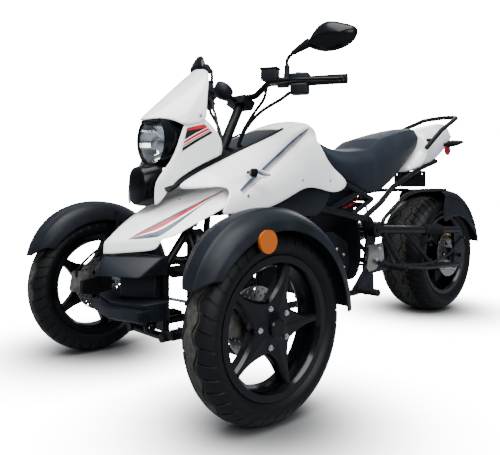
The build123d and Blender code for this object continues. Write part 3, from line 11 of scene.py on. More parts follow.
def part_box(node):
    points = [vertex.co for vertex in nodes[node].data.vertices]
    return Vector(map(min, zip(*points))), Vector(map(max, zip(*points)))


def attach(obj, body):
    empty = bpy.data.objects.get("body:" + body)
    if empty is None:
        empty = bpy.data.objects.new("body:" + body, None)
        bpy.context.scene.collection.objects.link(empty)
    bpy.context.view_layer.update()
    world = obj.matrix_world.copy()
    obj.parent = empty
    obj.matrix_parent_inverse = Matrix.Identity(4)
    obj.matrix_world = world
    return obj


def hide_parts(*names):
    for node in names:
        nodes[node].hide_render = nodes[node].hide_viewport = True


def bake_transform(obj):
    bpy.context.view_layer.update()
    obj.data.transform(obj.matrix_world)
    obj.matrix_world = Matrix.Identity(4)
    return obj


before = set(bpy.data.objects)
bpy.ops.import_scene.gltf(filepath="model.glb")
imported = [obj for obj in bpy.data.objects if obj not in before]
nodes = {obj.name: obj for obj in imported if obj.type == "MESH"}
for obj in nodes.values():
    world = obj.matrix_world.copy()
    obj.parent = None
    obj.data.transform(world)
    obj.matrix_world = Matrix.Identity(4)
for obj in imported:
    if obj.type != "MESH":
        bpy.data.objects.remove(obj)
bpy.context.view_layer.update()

# Places are in millimetres in the part's frame, with y measured back from the front axle
tyre_low, tyre_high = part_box("front_tyre_left")
FRONT_Y = (tyre_low.y + tyre_high.y) / 2
SIDES = ("left", "right")
SIDEWAYS = (1, 0, 0)
BACK = (0, 1, 0)
UP = (0, 0, 1)


def P(x, y, z):
    """A point of the frame, in metres, from a place in millimetres."""
    return Vector((x / 1000, FRONT_Y + y / 1000, z / 1000))


# Materials

def srgb(code):
    """An sRGB hex colour as linear red, green, blue and alpha."""
    parts = [int(code[i:i + 2], 16) / 255 for i in (1, 3, 5)]
    return (*[c / 12.92 if c <= 0.04045 else ((c + 0.055) / 1.055) ** 2.4 for c in parts], 1)


def add(tree, kind, sockets=None, **settings):
    """Adds one node; a socket takes a value, or another node's output to link."""
    made = tree.nodes.new(kind)
    for name, value in settings.items():
        setattr(made, name, value)
    for name, value in (sockets or {}).items():
        if isinstance(value, bpy.types.NodeSocket):
            tree.links.new(value, made.inputs[name])
        else:
            made.inputs[name].default_value = value
    return made


def finish_of(name, **sockets):
    """A new material with some sockets set; returns it, its tree, its shader and Object coordinates."""
    material = bpy.data.materials.new(name)
    material.use_nodes = True
    tree = material.node_tree
    shader = tree.nodes["Principled BSDF"]
    for key, value in sockets.items():
        shader.inputs[key.replace("_", " ")].default_value = value
    place = add(tree, "ShaderNodeTexCoord").outputs["Object"]
    return material, tree, shader, place


def two_tones(tree, factor, dark, light, low=0.35, high=0.65):
    """A ramp between two sRGB colours."""
    ramp = add(tree, "ShaderNodeValToRGB", {"Fac": factor})
    ramp.color_ramp.elements[0].position = low
    ramp.color_ramp.elements[1].position = high
    ramp.color_ramp.elements[0].color = srgb(dark)
    ramp.color_ramp.elements[1].color = srgb(light)
    return ramp.outputs["Color"]


def coloured(name, dark, light, patch_mm, grain_mm, grain_depth, rough, **sockets):
    """A finish whose colour and gloss drift between two values in soft patches, with a fine grain."""
    material, tree, shader, place = finish_of(name, **sockets)
    drift = add(tree, "ShaderNodeTexNoise", {"Vector": place, "Scale": 1000 / patch_mm, "Detail": 4.0})
    grain = add(tree, "ShaderNodeTexNoise", {"Vector": place, "Scale": 1000 / grain_mm, "Detail": 3.0})
    gloss = add(tree, "ShaderNodeMapRange", {"Value": drift.outputs["Fac"], "From Min": 0.3, "From Max": 0.7,
                                             "To Min": rough[0], "To Max": rough[1]})
    bump = add(tree, "ShaderNodeBump", {"Height": grain.outputs["Fac"], "Strength": grain_depth,
                                        "Distance": 0.0004})
    tree.links.new(two_tones(tree, drift.outputs["Fac"], dark, light), shader.inputs["Base Color"])
    tree.links.new(gloss.outputs["Result"], shader.inputs["Roughness"])
    tree.links.new(bump.outputs["Normal"], shader.inputs["Normal"])
    return material


# Gloss white two-pack paint on ABS panels: even, a clear lacquer over it, a very slight orange peel.
WHITE = coloured("white_paint", "#efefec", "#f6f6f4", 160, 9, 0.05, (0.2, 0.28), Coat_Weight=0.6,
                 Coat_Roughness=0.06)
# Black ABS moulded against a fine spark-eroded tool: a dull sheen that picks up the sky.
BLACK = coloured("black_moulded_abs", "#0a0d11", "#11161c", 90, 1.6, 0.35, (0.4, 0.5),
                 Specular_IOR_Level=0.16)
# Polished black ABS of the lamp, the tank lid and the mirrors: smooth, with a wet gloss.
GLOSS_BLACK = coloured("gloss_black_abs", "#050608", "#080a0d", 120, 12, 0.05, (0.16, 0.24),
                       Specular_IOR_Level=0.13)
# Black powder coat on steel tube: slightly pebbled, half gloss.
POWDER = coloured("black_powder_coat", "#050608", "#090b0e", 60, 3, 0.3, (0.3, 0.42), Specular_IOR_Level=0.18)
# Black stove enamel on cast alloy wheels: deep gloss.
ENAMEL = coloured("black_enamel_on_cast_alloy", "#030405", "#060709", 80, 6, 0.08, (0.14, 0.22),
                  Specular_IOR_Level=0.2)
# Sand-cast aluminium: grey, matt, with a sugar-like skin.
CAST = coloured("cast_aluminium", "#8f8d87", "#b3b1aa", 40, 2.2, 0.5, (0.38, 0.52), Metallic=1.0)
# Engine castings painted near black: dull and slightly rough with road dust.
CASTING = coloured("painted_engine_casting", "#0b0d10", "#14171b", 50, 2.4, 0.5, (0.5, 0.66),
                   Specular_IOR_Level=0.2)
# Zinc-plated fasteners: bright, slightly blue.
ZINC = coloured("zinc_plated_steel", "#b9bcc0", "#d3d5d8", 12, 1.0, 0.1, (0.22, 0.34), Metallic=1.0)
# Gold passivated steel of the rear caliper: a dull yellow metal.
GOLD = coloured("gold_passivated_steel", "#8d6a36", "#b08a4a", 15, 1.2, 0.15, (0.3, 0.42), Metallic=1.0)
# Chrome plate of the bulb, its shade and the clamp bolts: as bright as a mirror.
CHROME = coloured("chrome_plate", "#d4d6d9", "#e4e6e8", 60, 20, 0.02, (0.06, 0.12), Metallic=1.0)
# Blackened steel of the exhaust: dark and patchy, half metal and half soot.
SOOT = coloured("blackened_steel", "#101114", "#1a1b1e", 45, 2.0, 0.3, (0.4, 0.56), Metallic=0.4)
# Moulded rubber of grips, pegs and boots: black, with hardly any shine.
RUBBER = coloured("moulded_rubber", "#07080a", "#0c0e10", 30, 0.9, 0.3, (0.62, 0.74), Specular_IOR_Level=0.15)
# Satin stainless steel of the foot carriers: its warm grey is a painted reflection of a warm ground.
STRAP = coloured("satin_stainless_painted_reflection", "#8a857f", "#a8a39c", 70, 3, 0.06, (0.24, 0.34), Metallic=1.0)
# Silvered glass: a clear, sharp reflection.
MIRROR = coloured("silvered_glass", "#dfe3e6", "#e8ebed", 200, 200, 0.0, (0.02, 0.03), Metallic=1.0)
# Bare plate of enamelled aluminium: black, even, half gloss.
PLATE = coloured("enamelled_plate", "#0e1013", "#171a1e", 30, 2, 0.1, (0.3, 0.4), Specular_IOR_Level=0.2)
# PVC sheath of cables and hoses: smooth, black, half gloss.
SHEATH = coloured("pvc_sheath", "#050608", "#090b0d", 25, 1.2, 0.15, (0.38, 0.5), Specular_IOR_Level=0.2)


def prismatic(name, dark, light, **sockets):
    """Moulded reflector or lamp plastic with rows of small prisms behind a glossy face."""
    material, tree, shader, place = finish_of(name, Roughness=0.22, Specular_IOR_Level=0.25, Coat_Weight=0.2,
                                              Coat_Roughness=0.05, **sockets)
    cells = add(tree, "ShaderNodeTexVoronoi", {"Vector": place, "Scale": 1000 / 3.5, "Randomness": 0.0})
    bump = add(tree, "ShaderNodeBump", {"Height": cells.outputs["Distance"], "Strength": 0.6,
                                        "Distance": 0.001})
    tree.links.new(two_tones(tree, cells.outputs["Distance"], light, dark, 0.1, 0.7),
                   shader.inputs["Base Color"])
    tree.links.new(bump.outputs["Normal"], shader.inputs["Normal"])
    return material


# Moulded acrylic of reflectors and lamps: amber, red and smoked, sparkling in small cells.
AMBER = prismatic("amber_acrylic", "#7a3200", "#bd6400")
RED = prismatic("red_acrylic", "#6d0610", "#b3121f")
SMOKED = prismatic("smoked_acrylic", "#101013", "#1d1d21")


def leatherette():
    """Coated vinyl: near black, soft sheen, pebbles of about 1.6 mm, drawn at 3 mm so that they show."""
    material, tree, shader, place = finish_of("seat_vinyl", Sheen_Weight=0.04, Sheen_Roughness=0.5)
    shader.inputs["Specular IOR Level"].default_value = 0.12
    drift = add(tree, "ShaderNodeTexNoise", {"Vector": place, "Scale": 1000 / 130, "Detail": 3.0})
    pebble = add(tree, "ShaderNodeTexVoronoi", {"Vector": place, "Scale": 1000 / 3.0}, feature="SMOOTH_F1")
    gloss = add(tree, "ShaderNodeMapRange", {"Value": drift.outputs["Fac"], "From Min": 0.3, "From Max": 0.7,
                                             "To Min": 0.5, "To Max": 0.62})
    bump = add(tree, "ShaderNodeBump", {"Height": pebble.outputs["Distance"], "Strength": 0.35,
                                        "Distance": 0.0006})
    tree.links.new(two_tones(tree, drift.outputs["Fac"], "#11161d", "#1a212a"), shader.inputs["Base Color"])
    tree.links.new(gloss.outputs["Result"], shader.inputs["Roughness"])
    tree.links.new(bump.outputs["Normal"], shader.inputs["Normal"])
    return material


def tyre_rubber():
    """Road tyre: black, and dusty grey where the crown has run on the road (its "worn" attribute)."""
    material, tree, shader, place = finish_of("tyre_rubber", Specular_IOR_Level=0.15)
    worn = add(tree, "ShaderNodeAttribute", attribute_name="worn")
    dust = add(tree, "ShaderNodeTexNoise", {"Vector": place, "Scale": 1000 / 14, "Detail": 6.0})
    fine = add(tree, "ShaderNodeTexNoise", {"Vector": place, "Scale": 1000 / 1.5, "Detail": 2.0})
    share = add(tree, "ShaderNodeMath", {0: worn.outputs["Fac"], 1: dust.outputs["Fac"]},
                operation="MULTIPLY")
    bump = add(tree, "ShaderNodeBump", {"Height": fine.outputs["Fac"], "Strength": 0.3, "Distance": 0.0004})
    gloss = add(tree, "ShaderNodeMapRange", {"Value": share.outputs["Value"], "From Min": 0.0,
                                             "From Max": 0.6, "To Min": 0.5, "To Max": 0.85})
    tree.links.new(two_tones(tree, share.outputs["Value"], "#060709", "#464540", 0.1, 0.75),
                   shader.inputs["Base Color"])
    tree.links.new(gloss.outputs["Result"], shader.inputs["Roughness"])
    tree.links.new(bump.outputs["Normal"], shader.inputs["Normal"])
    return material


def turned_steel(name, axle):
    """A brake disc's ground face: rings about the axle, in steel."""
    material, tree, shader, place = finish_of(name, Metallic=1.0)
    shift = add(tree, "ShaderNodeVectorMath", {0: place, 1: tuple(axle)}, operation="SUBTRACT")
    flat = add(tree, "ShaderNodeVectorMath", {0: shift.outputs["Vector"], 1: (0.0, 1.0, 1.0)},
               operation="MULTIPLY")
    radius = add(tree, "ShaderNodeVectorMath", {0: flat.outputs["Vector"]}, operation="LENGTH")
    rings = add(tree, "ShaderNodeTexNoise",
                {"W": radius.outputs["Value"], "Scale": 1000 / 1.2, "Detail": 2.0}, noise_dimensions="1D")
    gloss = add(tree, "ShaderNodeMapRange", {"Value": rings.outputs["Fac"], "To Min": 0.22, "To Max": 0.5})
    tree.links.new(two_tones(tree, rings.outputs["Fac"], "#8d8b88", "#b9b8b5"), shader.inputs["Base Color"])
    tree.links.new(gloss.outputs["Result"], shader.inputs["Roughness"])
    return material


SEAT_VINYL = leatherette()
TYRE = tyre_rubber()


def dress(material, *names):
    """Gives CAD nodes that stay in view their finish."""
    for name in names:
        slots = nodes[name].data.materials
        slots.clear()
        slots.append(material)


dress(POWDER, "frame", "front_frame", "lower_arms", "upper_arms", "swing_arm", "steering_shaft", "handlebar",
      "grab_rail", *[f"knuckle_{s}" for s in SIDES])
dress(CASTING, "engine")
dress(SOOT, "exhaust")
dress(ZINC, *[f"tie_rod_{s}" for s in SIDES])
dress(CAST, *[f"front_caliper_{s}" for s in SIDES])
dress(GOLD, "rear_caliper")
dress(AMBER, *[f"side_reflector_{s}" for s in SIDES])
dress(RED, "tail_light")
dress(PLATE, "plate_holder")
dress(SHEATH, "rear_brake_hose")

# Wheel centres, and the turned discs whose rings lie about them
front_hub = (tyre_low + tyre_high) / 2
rear_low, rear_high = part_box("rear_tyre")
rear_hub = (rear_low + rear_high) / 2
FRONT_WHEELS = [(side, sign, Vector((sign * front_hub.x, front_hub.y, front_hub.z)))
                for side, sign in zip(SIDES, (1, -1))]
DISC = turned_steel("ground_front_disc", front_hub)
REAR_DISC = turned_steel("ground_rear_disc", rear_hub)


# Mesh making

def shown(name, data):
    """A new object of the scene, at the origin."""
    obj = bpy.data.objects.new(name, data)
    bpy.context.scene.collection.objects.link(obj)
    return obj


def made(name, verts, faces, material):
    """A new smooth mesh."""
    mesh = bpy.data.meshes.new(name)
    mesh.from_pydata([tuple(v) for v in verts], [], faces)
    mesh.materials.append(material)
    mesh.shade_smooth()
    return shown(name, mesh)


def grid(rows, ring=False, loop=False):
    """Points and faces of a grid; ring joins each row's two ends, loop joins the last row to the first."""
    count = len(rows[0])
    faces = []
    for r in range(len(rows) if loop else len(rows) - 1):
        s = (r + 1) % len(rows)
        for c in range(count if ring else count - 1):
            d = (c + 1) % count
            faces.append((r * count + c, r * count + d, s * count + d, s * count + c))
    return [p for row in rows for p in row], faces


def outward(obj, inside=None):
    """Turns a closed mesh's faces out, or an open sheet's faces away from a point inside."""
    bm = bmesh.new()
    bm.from_mesh(obj.data)
    bmesh.ops.remove_doubles(bm, verts=bm.verts, dist=1e-6)
    bmesh.ops.recalc_face_normals(bm, faces=bm.faces)
    if inside is not None:
        lean = sum(f.normal.dot(f.calc_center_median() - inside) * f.calc_area() for f in bm.faces)
        if lean < 0:
            bmesh.ops.reverse_faces(bm, faces=bm.faces)
    bm.to_mesh(obj.data)
    bm.free()
    obj.data.shade_smooth()


def settle(obj, *modifiers):
    """Gives the mesh its modifiers, each a kind and its settings, and keeps the result as a plain mesh."""
    for kind, settings in modifiers:
        modifier = obj.modifiers.new(kind, kind)
        for key, value in settings.items():
            setattr(modifier, key, value)
    graph = bpy.context.evaluated_depsgraph_get()
    mesh = bpy.data.meshes.new_from_object(obj.evaluated_get(graph))
    obj.modifiers.clear()
    obj.data = mesh
    return obj


def split(degrees):
    """A modifier that keeps edges crisp where faces meet at more than an angle."""
    return "EDGE_SPLIT", {"split_angle": math.radians(degrees)}


def rounded(width, segments):
    """A modifier that rounds edges, with a width in millimetres."""
    return "BEVEL", {"width": width / 1000, "segments": segments, "limit_method": "ANGLE"}


def smoothed(levels):
    """A modifier that makes a smooth surface of a cage."""
    return "SUBSURF", {"levels": levels, "render_levels": levels}


def crease(obj, count, columns=(), rows=(), weight=0.7):
    """Sharpens whole columns and rows of a grid with count points in a row."""
    values = [0.0] * len(obj.data.edges)
    for i, edge in enumerate(obj.data.edges):
        a, b = sorted(edge.vertices)
        if (b - a == count and a % count in columns) or (b - a < count and a // count == b // count in rows):
            values[i] = weight
    obj.data.attributes.new("crease_edge", "FLOAT", "EDGE").data.foreach_set("value", values)


def panel(name, rows, material, inside, thick, columns=(), sharp_rows=(), weight=0.7, levels=2):
    """A moulded skin through rows of points, with a wall behind it and some of its lines kept sharp."""
    obj = made(name, *grid(rows), material)
    crease(obj, len(rows[0]), columns, sharp_rows, weight)
    outward(obj, inside)
    return settle(obj, ("SOLIDIFY", {"thickness": thick / 1000, "offset": -1, "use_even_offset": True,
                                     "edge_crease_outer": 0.55, "edge_crease_inner": 0.55}),
                  smoothed(levels))


def lump(name, rows, material, columns=(), sharp_rows=(), weight=0.6, levels=2):
    """A closed smooth body through rings of points, with its two ends filled."""
    count = len(rows[0])
    verts, faces = grid(rows, ring=True)
    faces += [tuple(range(count)), tuple(range(len(verts) - count, len(verts)))]
    obj = made(name, verts, faces, material)
    crease(obj, count, columns, sharp_rows, weight)
    outward(obj)
    return settle(obj, smoothed(levels))


def across(half):
    """A row from the left edge to the right edge, of the points from the middle out to the left."""
    left = [P(*p) for p in reversed(half)]
    return left + [P(-x, y, z) for x, y, z in half[1:]]


def ring_of(y, half):
    """A closed ring at one y, of (x, z) points down the left side from the middle to the middle."""
    left = [P(x, y, z) for x, z in half]
    return left + [P(-x, y, z) for x, z in reversed(half[1:-1])]


def spun(name, profile, centre, material, axis=SIDEWAYS, steps=96, arc=(0, 360), closed=False):
    """A profile of (along, radius) points in millimetres turned about an axis through the centre."""
    along = Vector(axis).normalized()
    side = along.orthogonal().normalized()
    whole = abs(arc[1] - arc[0]) >= 360
    rows = []
    for k in range(steps if whole else steps + 1):
        turn = Matrix.Rotation(math.radians(arc[0] + (arc[1] - arc[0]) * k / steps), 3, along) @ side
        rows.append([centre + along * (a / 1000) + turn * (r / 1000) for a, r in profile])
    obj = made(name, *grid(rows, ring=closed, loop=whole), material)
    outward(obj)
    return settle(obj, split(35))


def mirrored(obj, name):
    """The mirror image on the other side."""
    mesh = obj.data.copy()
    mesh.transform(Matrix.Diagonal((-1, 1, 1, 1)))
    mesh.flip_normals()
    return shown(name, mesh)


def joined(name, *objs):
    """Several meshes as one object."""
    bm = bmesh.new()
    slots = []
    for obj in objs:
        start = len(bm.faces)
        bm.from_mesh(obj.data)
        bm.faces.ensure_lookup_table()
        for m in obj.data.materials:
            if m not in slots:
                slots.append(m)
        for f in bm.faces[start:]:
            f.material_index = slots.index(obj.data.materials[f.material_index])
    mesh = bpy.data.meshes.new(name)
    bm.to_mesh(mesh)
    bm.free()
    for m in slots:
        mesh.materials.append(m)
    for obj in objs:
        bpy.data.objects.remove(obj)
    return shown(name, mesh)


def fit(obj, body, stands_for=()):
    """Sets a finished piece on its body, in place of CAD nodes."""
    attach(obj, body)
    if stands_for:
        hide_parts(*stands_for)
    return obj


def hull(name, points, material, bevel):
    """A convex block round some points, with its edges rounded."""
    bm = bmesh.new()
    for p in points:
        bm.verts.new(p)
    bmesh.ops.convex_hull(bm, input=bm.verts)
    bmesh.ops.dissolve_limit(bm, angle_limit=math.radians(2), verts=bm.verts, edges=bm.edges)
    mesh = bpy.data.meshes.new(name)
    bm.to_mesh(mesh)
    bm.free()
    mesh.materials.append(material)
    obj = settle(shown(name, mesh), rounded(bevel, 3))
    obj.data.shade_smooth()
    return settle(obj, split(30))


# Repeated small parts: geometry trees with named inputs

def tree_of(name, inputs):
    """A geometry tree with named inputs; returns it with its inputs and its output's sockets."""
    tree = bpy.data.node_groups.new(name, "GeometryNodeTree")
    tree.interface.new_socket("Geometry", in_out="INPUT", socket_type="NodeSocketGeometry")
    for key, kind in inputs.items():
        tree.interface.new_socket(key, in_out="INPUT", socket_type=kind)
    tree.interface.new_socket("Geometry", in_out="OUTPUT", socket_type="NodeSocketGeometry")
    return tree, tree.nodes.new("NodeGroupInput").outputs, tree.nodes.new("NodeGroupOutput").inputs


def finished(tree, geometry, given, result):
    """Ends a tree: real mesh instead of instances, in one material."""
    real = add(tree, "GeometryNodeRealizeInstances", {"Geometry": geometry})
    coat = add(tree, "GeometryNodeSetMaterial", {"Geometry": real.outputs["Geometry"],
                                                 "Material": given["Material"]})
    tree.links.new(coat.outputs["Geometry"], result["Geometry"])
    return tree


def spread_tree():
    """A copy of one part on each point, its Z along the point's "facing"."""
    tree, given, result = tree_of("spread", {"Part": "NodeSocketObject", "Material": "NodeSocketMaterial"})
    part = add(tree, "GeometryNodeObjectInfo", {"Object": given["Part"]})
    facing = add(tree, "GeometryNodeInputNamedAttribute", {"Name": "facing"}, data_type="FLOAT_VECTOR")
    turn = add(tree, "FunctionNodeAlignRotationToVector", {"Vector": facing.outputs["Attribute"]}, axis="Z")
    points = add(tree, "GeometryNodeMeshToPoints", {"Mesh": given["Geometry"]})
    copies = add(tree, "GeometryNodeInstanceOnPoints", {"Points": points.outputs["Points"],
                                                        "Rotation": turn.outputs["Rotation"],
                                                        "Instance": part.outputs["Geometry"]})
    return finished(tree, copies.outputs["Instances"], given, result)


def row_tree():
    """Copies of one part along a line at a pitch, their X along it and their Z as near "Across" as can be."""
    tree, given, result = tree_of("row", {"Part": "NodeSocketObject", "Pitch": "NodeSocketFloat",
                                          "Across": "NodeSocketVector", "Material": "NodeSocketMaterial"})
    part = add(tree, "GeometryNodeObjectInfo", {"Object": given["Part"]})
    line = add(tree, "GeometryNodeMeshToCurve", {"Mesh": given["Geometry"]})
    points = add(tree, "GeometryNodeCurveToPoints",
                 {"Curve": line.outputs["Curve"], "Length": given["Pitch"]}, mode="LENGTH")
    level = add(tree, "FunctionNodeAlignRotationToVector", {"Vector": given["Across"]}, axis="Z")
    turn = add(tree, "FunctionNodeAlignRotationToVector",
               {"Rotation": level.outputs["Rotation"], "Vector": points.outputs["Tangent"]},
               axis="X", pivot_axis="Z")
    copies = add(tree, "GeometryNodeInstanceOnPoints", {"Points": points.outputs["Points"],
                                                        "Rotation": turn.outputs["Rotation"],
                                                        "Instance": part.outputs["Geometry"]})
    return finished(tree, copies.outputs["Instances"], given, result)


def coil_tree():
    """A round wire wound up the Z axis."""
    tree, given, result = tree_of("coil", {"Radius": "NodeSocketFloat", "Height": "NodeSocketFloat",
                                           "Turns": "NodeSocketFloat", "Wire": "NodeSocketFloat",
                                           "Material": "NodeSocketMaterial"})
    spiral = add(tree, "GeometryNodeCurveSpiral", {"Resolution": 28, "Rotations": given["Turns"],
                                                   "Start Radius": given["Radius"],
                                                   "End Radius": given["Radius"], "Height": given["Height"]})
    ring = add(tree, "GeometryNodeCurvePrimitiveCircle", {"Resolution": 10, "Radius": given["Wire"]})
    body = add(tree, "GeometryNodeCurveToMesh", {"Curve": spiral.outputs["Curve"],
                                                 "Profile Curve": ring.outputs["Curve"], "Fill Caps": True})
    return finished(tree, body.outputs["Mesh"], given, result)


def grow(start, tree, **values):
    """What a geometry tree makes of a start mesh, kept as a plain mesh."""
    modifier = start.modifiers.new(tree.name, "NODES")
    modifier.node_group = tree
    for item in tree.interface.items_tree:
        if item.in_out == "INPUT" and item.name in values:
            modifier[item.identifier] = values[item.name]
    settle(start)
    start.data.shade_smooth()
    return settle(start, split(35))


SPREAD = spread_tree()
ROW = row_tree()
COIL = coil_tree()


def screws(name, places, radius, height, material, sides=18):
    """Socket screws with a washer at places given as (point, facing), radius and height in millimetres."""
    washer = [(-0.4, radius * 1.5), (height * 0.25, radius * 1.5), (height * 0.25, radius)]
    cap = [(height * 0.9, radius), (height, radius * 0.86)]
    bore = [(height, radius * 0.5), (height * 0.5, radius * 0.46), (height * 0.5, 0)]
    head = spun("screw", washer + cap + bore, Vector(), material, axis=UP, steps=sides)
    points = made(name, [p for p, _ in places], [], material)
    facing = points.data.attributes.new("facing", "FLOAT_VECTOR", "POINT")
    facing.data.foreach_set("vector", [c for _, f in places for c in f])
    grow(points, SPREAD, Part=head, Material=material)
    bpy.data.objects.remove(head)
    return points


def row_of(name, part, line, pitch, across_dir, material):
    """Copies of a part along a line of points."""
    path = bpy.data.meshes.new(name)
    path.from_pydata([tuple(p) for p in line], [(i, i + 1) for i in range(len(line) - 1)], [])
    obj = grow(shown(name, path), ROW, Part=part, Pitch=pitch / 1000, Across=across_dir, Material=material)
    bpy.data.objects.remove(part)
    return obj


def coil(name, foot, top, radius, wire_r, turns, material):
    """A spring from a foot up to a top point."""
    axis = top - foot
    obj = grow(made(name, [], [], material), COIL, Radius=radius / 1000, Height=axis.length, Turns=turns,
               Wire=wire_r / 1000, Material=material)
    turn = Vector(UP).rotation_difference(axis).to_matrix().to_4x4()
    obj.data.transform(Matrix.Translation(foot) @ turn)
    return obj


def wire(name, points, radius, material):
    """A round bar or cable along one smooth curve near the points."""
    curve = bpy.data.curves.new(name, "CURVE")
    curve.dimensions = "3D"
    curve.bevel_depth = radius / 1000
    curve.bevel_resolution = 3
    curve.use_fill_caps = True
    spline = curve.splines.new("NURBS")
    spline.points.add(len(points) - 1)
    for knot, place in zip(spline.points, points):
        knot.co = (*place, 1)
    spline.order_u = 3
    spline.use_endpoint_u = True
    spline.resolution_u = 10
    holder = shown(name + "_line", curve)
    graph = bpy.context.evaluated_depsgraph_get()
    mesh = bpy.data.meshes.new_from_object(holder.evaluated_get(graph))
    bpy.data.objects.remove(holder)
    mesh.materials.clear()
    mesh.materials.append(material)
    mesh.shade_smooth()
    return shown(name, mesh)


def plate(name, outline, x0, x1, material, bevel=1.0):
    """A flat plate cut to a side outline of (y, z) points, with its edges broken."""
    count = len(outline)
    verts = [P(x, y, z) for x in (x0, x1) for y, z in outline]
    faces = [tuple(range(count)), tuple(range(count, count * 2))]
    faces += [(i, (i + 1) % count, count + (i + 1) % count, count + i) for i in range(count)]
    obj = made(name, verts, faces, material)
    outward(obj)
    return settle(obj, rounded(bevel, 2), split(40))


def brick(name, centre, along, up, size, material, bevel):
    """A box with rounded edges, its three sizes in millimetres along, to the side and up."""
    along, up = Vector(along).normalized(), Vector(up).normalized()
    side = up.cross(along)
    points = [centre + (along * (a * size[0]) + side * (b * size[1]) + up * (c * size[2])) / 2000
              for a in (-1, 1) for b in (-1, 1) for c in (-1, 1)]
    return hull(name, points, material, bevel)


def skin_of(obj):
    """A finished piece's surface, to lay things on."""
    mesh = obj.data
    return BVHTree.FromPolygons([v.co for v in mesh.vertices], [p.vertices for p in mesh.polygons])


# How far outside or inside a panel a point has to lie to be clear of it, in metres
OUTSIDE = 0.15
INSIDE = 0.3


def landed(skin, point, away):
    """Where a line from outside through a point meets a skin, or the nearest place, and the normal there."""
    away = Vector(away).normalized()
    place, normal, *_ = skin.ray_cast(point + away * OUTSIDE, -away)
    if place is None:
        place, normal, *_ = skin.find_nearest(point)
    return place, normal


def film(name, skin, upper, lower, shares, material, steps=36, rise=0.35):
    """A thin strip on a skin; shares place its two edges between the lines, at its start and at its end."""
    def along(line, t):
        k = min(int(t * (len(line) - 1)), len(line) - 2)
        return line[k].lerp(line[k + 1], t * (len(line) - 1) - k)

    rows = []
    for i in range(steps + 1):
        t = i / steps
        a, b = along(upper, t), along(lower, t)
        top, bottom = [first + (last - first) * t for first, last in zip(shares[:2], shares[2:])]
        row = [skin.find_nearest(a.lerp(b, top + (bottom - top) * j / 3)) for j in range(4)]
        rows.append([hit[0] + hit[1] * (rise / 1000) for hit in row])
    obj = made(name, *grid(rows), material)
    outward(obj, rows[0][0] - Vector(SIDEWAYS) * INSIDE)
    return obj


def pair(name, obj):
    """A left-hand piece and its mirror image as one."""
    return joined(name, obj, mirrored(obj, name + "_right"))


# Tyres: a moulded carcass with slanted shoulder grooves and one wavy groove on each side of the crown

GROOVE_DEPTH = 4.5
GROOVE_WALL = 0.4
SHOULDER_REACH = 0.62  # where the slanted grooves end, as a share of the way from the crown to the bead
LUG_STEPS = [0.3, 0.44, 0.58, 0.72, 0.86]
LUG_EDGE = 0.02


def make_tyre(name, hub, profile, lugs, groove_mm, slant, wave, worn_half):
    """A treaded tyre, its worn crown as wide as worn_half to each side.

    profile runs from the crown's middle to the bead as (half width, radius), and wave is the wavy groove's
    (place, width, swing, count).
    """
    crown = max(r for _, r in profile)
    points = np.array(profile, float)
    run = np.concatenate([[0], np.cumsum(np.hypot(*np.diff(points, axis=0).T))])
    place, width, swing, count = wave
    inner, outer = place - width / 2, place + width / 2
    stations = sorted({0.0, inner - GROOVE_WALL, inner, outer, outer + GROOVE_WALL,
                       *np.linspace(0, place - width, 4), *np.linspace(place + width, run[-1], 22)})
    stations = np.array([-s for s in reversed(stations[1:])] + list(stations))
    reach = run[-1] * SHOULDER_REACH
    pitch = 2 * math.pi / lugs
    share = groove_mm / (crown * pitch)
    steps = np.array([0.0, LUG_EDGE, share, share + LUG_EDGE, *LUG_STEPS])
    angles = (np.arange(lugs)[:, None] + steps[None, :]).ravel() * pitch
    in_groove = np.tile([k in (1, 2) for k in range(len(steps))], lugs)
    verts, worn = [], []
    for theta, groove in zip(angles, in_groove):
        for s in stations:
            side = 1 if s >= 0 else -1
            a = abs(s)
            near = max(0.0, 1 - abs(a - place) / (place * 0.9))
            swung = a + swing * math.sin(count * theta + (0 if side > 0 else math.pi)) * near
            on_wave = inner - 0.01 <= a <= outer + 0.01
            lateral = groove and place + width < a < reach
            deep = GROOVE_DEPTH if (on_wave or lateral) else 0.0
            x = np.interp(swung, run, points[:, 0])
            r = np.interp(swung, run, points[:, 1]) - deep
            turn = theta + (slant * max(0.0, a - place) + (crown * pitch / 2 if side < 0 else 0)) / crown
            verts.append(hub + Vector((side * x, r * math.cos(turn), r * math.sin(turn))) / 1000)
            worn.append(0.0 if deep else max(0.0, 1 - (a / worn_half) ** 4))
    rows = [verts[i:i + len(stations)] for i in range(0, len(verts), len(stations))]
    obj = made(name, *grid(rows, loop=True), TYRE)
    obj.data.attributes.new("worn", "FLOAT", "POINT").data.foreach_set("value", worn)
    outward(obj, hub)
    return settle(obj, split(42))


FRONT_TREAD = [(0, 262), (14, 260.8), (28, 256.6), (42, 248.6), (52, 238), (58, 227), (59.6, 218), (56, 206),
               (48, 197), (42.2, 193.2), (37, 178.6)]
REAR_TREAD = [(0, 294), (34, 292.4), (66, 287), (92, 277), (110, 262), (117, 246), (116.4, 232), (111, 218),
              (104, 209), (100.2, 205.8), (95, 191)]
for side, sign, hub in FRONT_WHEELS:
    tyre = make_tyre(f"tyre_{side}", hub, FRONT_TREAD, 40, 5.5, 0.35 * sign, (20, 4.5, 8, 20), 30)
    fit(tyre, f"wheel_{side}", [f"front_tyre_{side}"])
tyre = make_tyre("tyre_rear", rear_hub, REAR_TREAD, 44, 7, 0.7, (26, 6, 10, 22), 60)
fit(tyre, "rear_wheel", ["rear_tyre"])


# Wheels: a turned barrel, a five-pointed star with bevelled edges, a hub and its cap

SPOKES = 5
SPOKE_ROOT_R = 60
SPOKE_TIP_HALF = 13
SPOKE_FLARE = 30
SPOKE_CURVE = 2.2
SPOKE_STEPS = 9


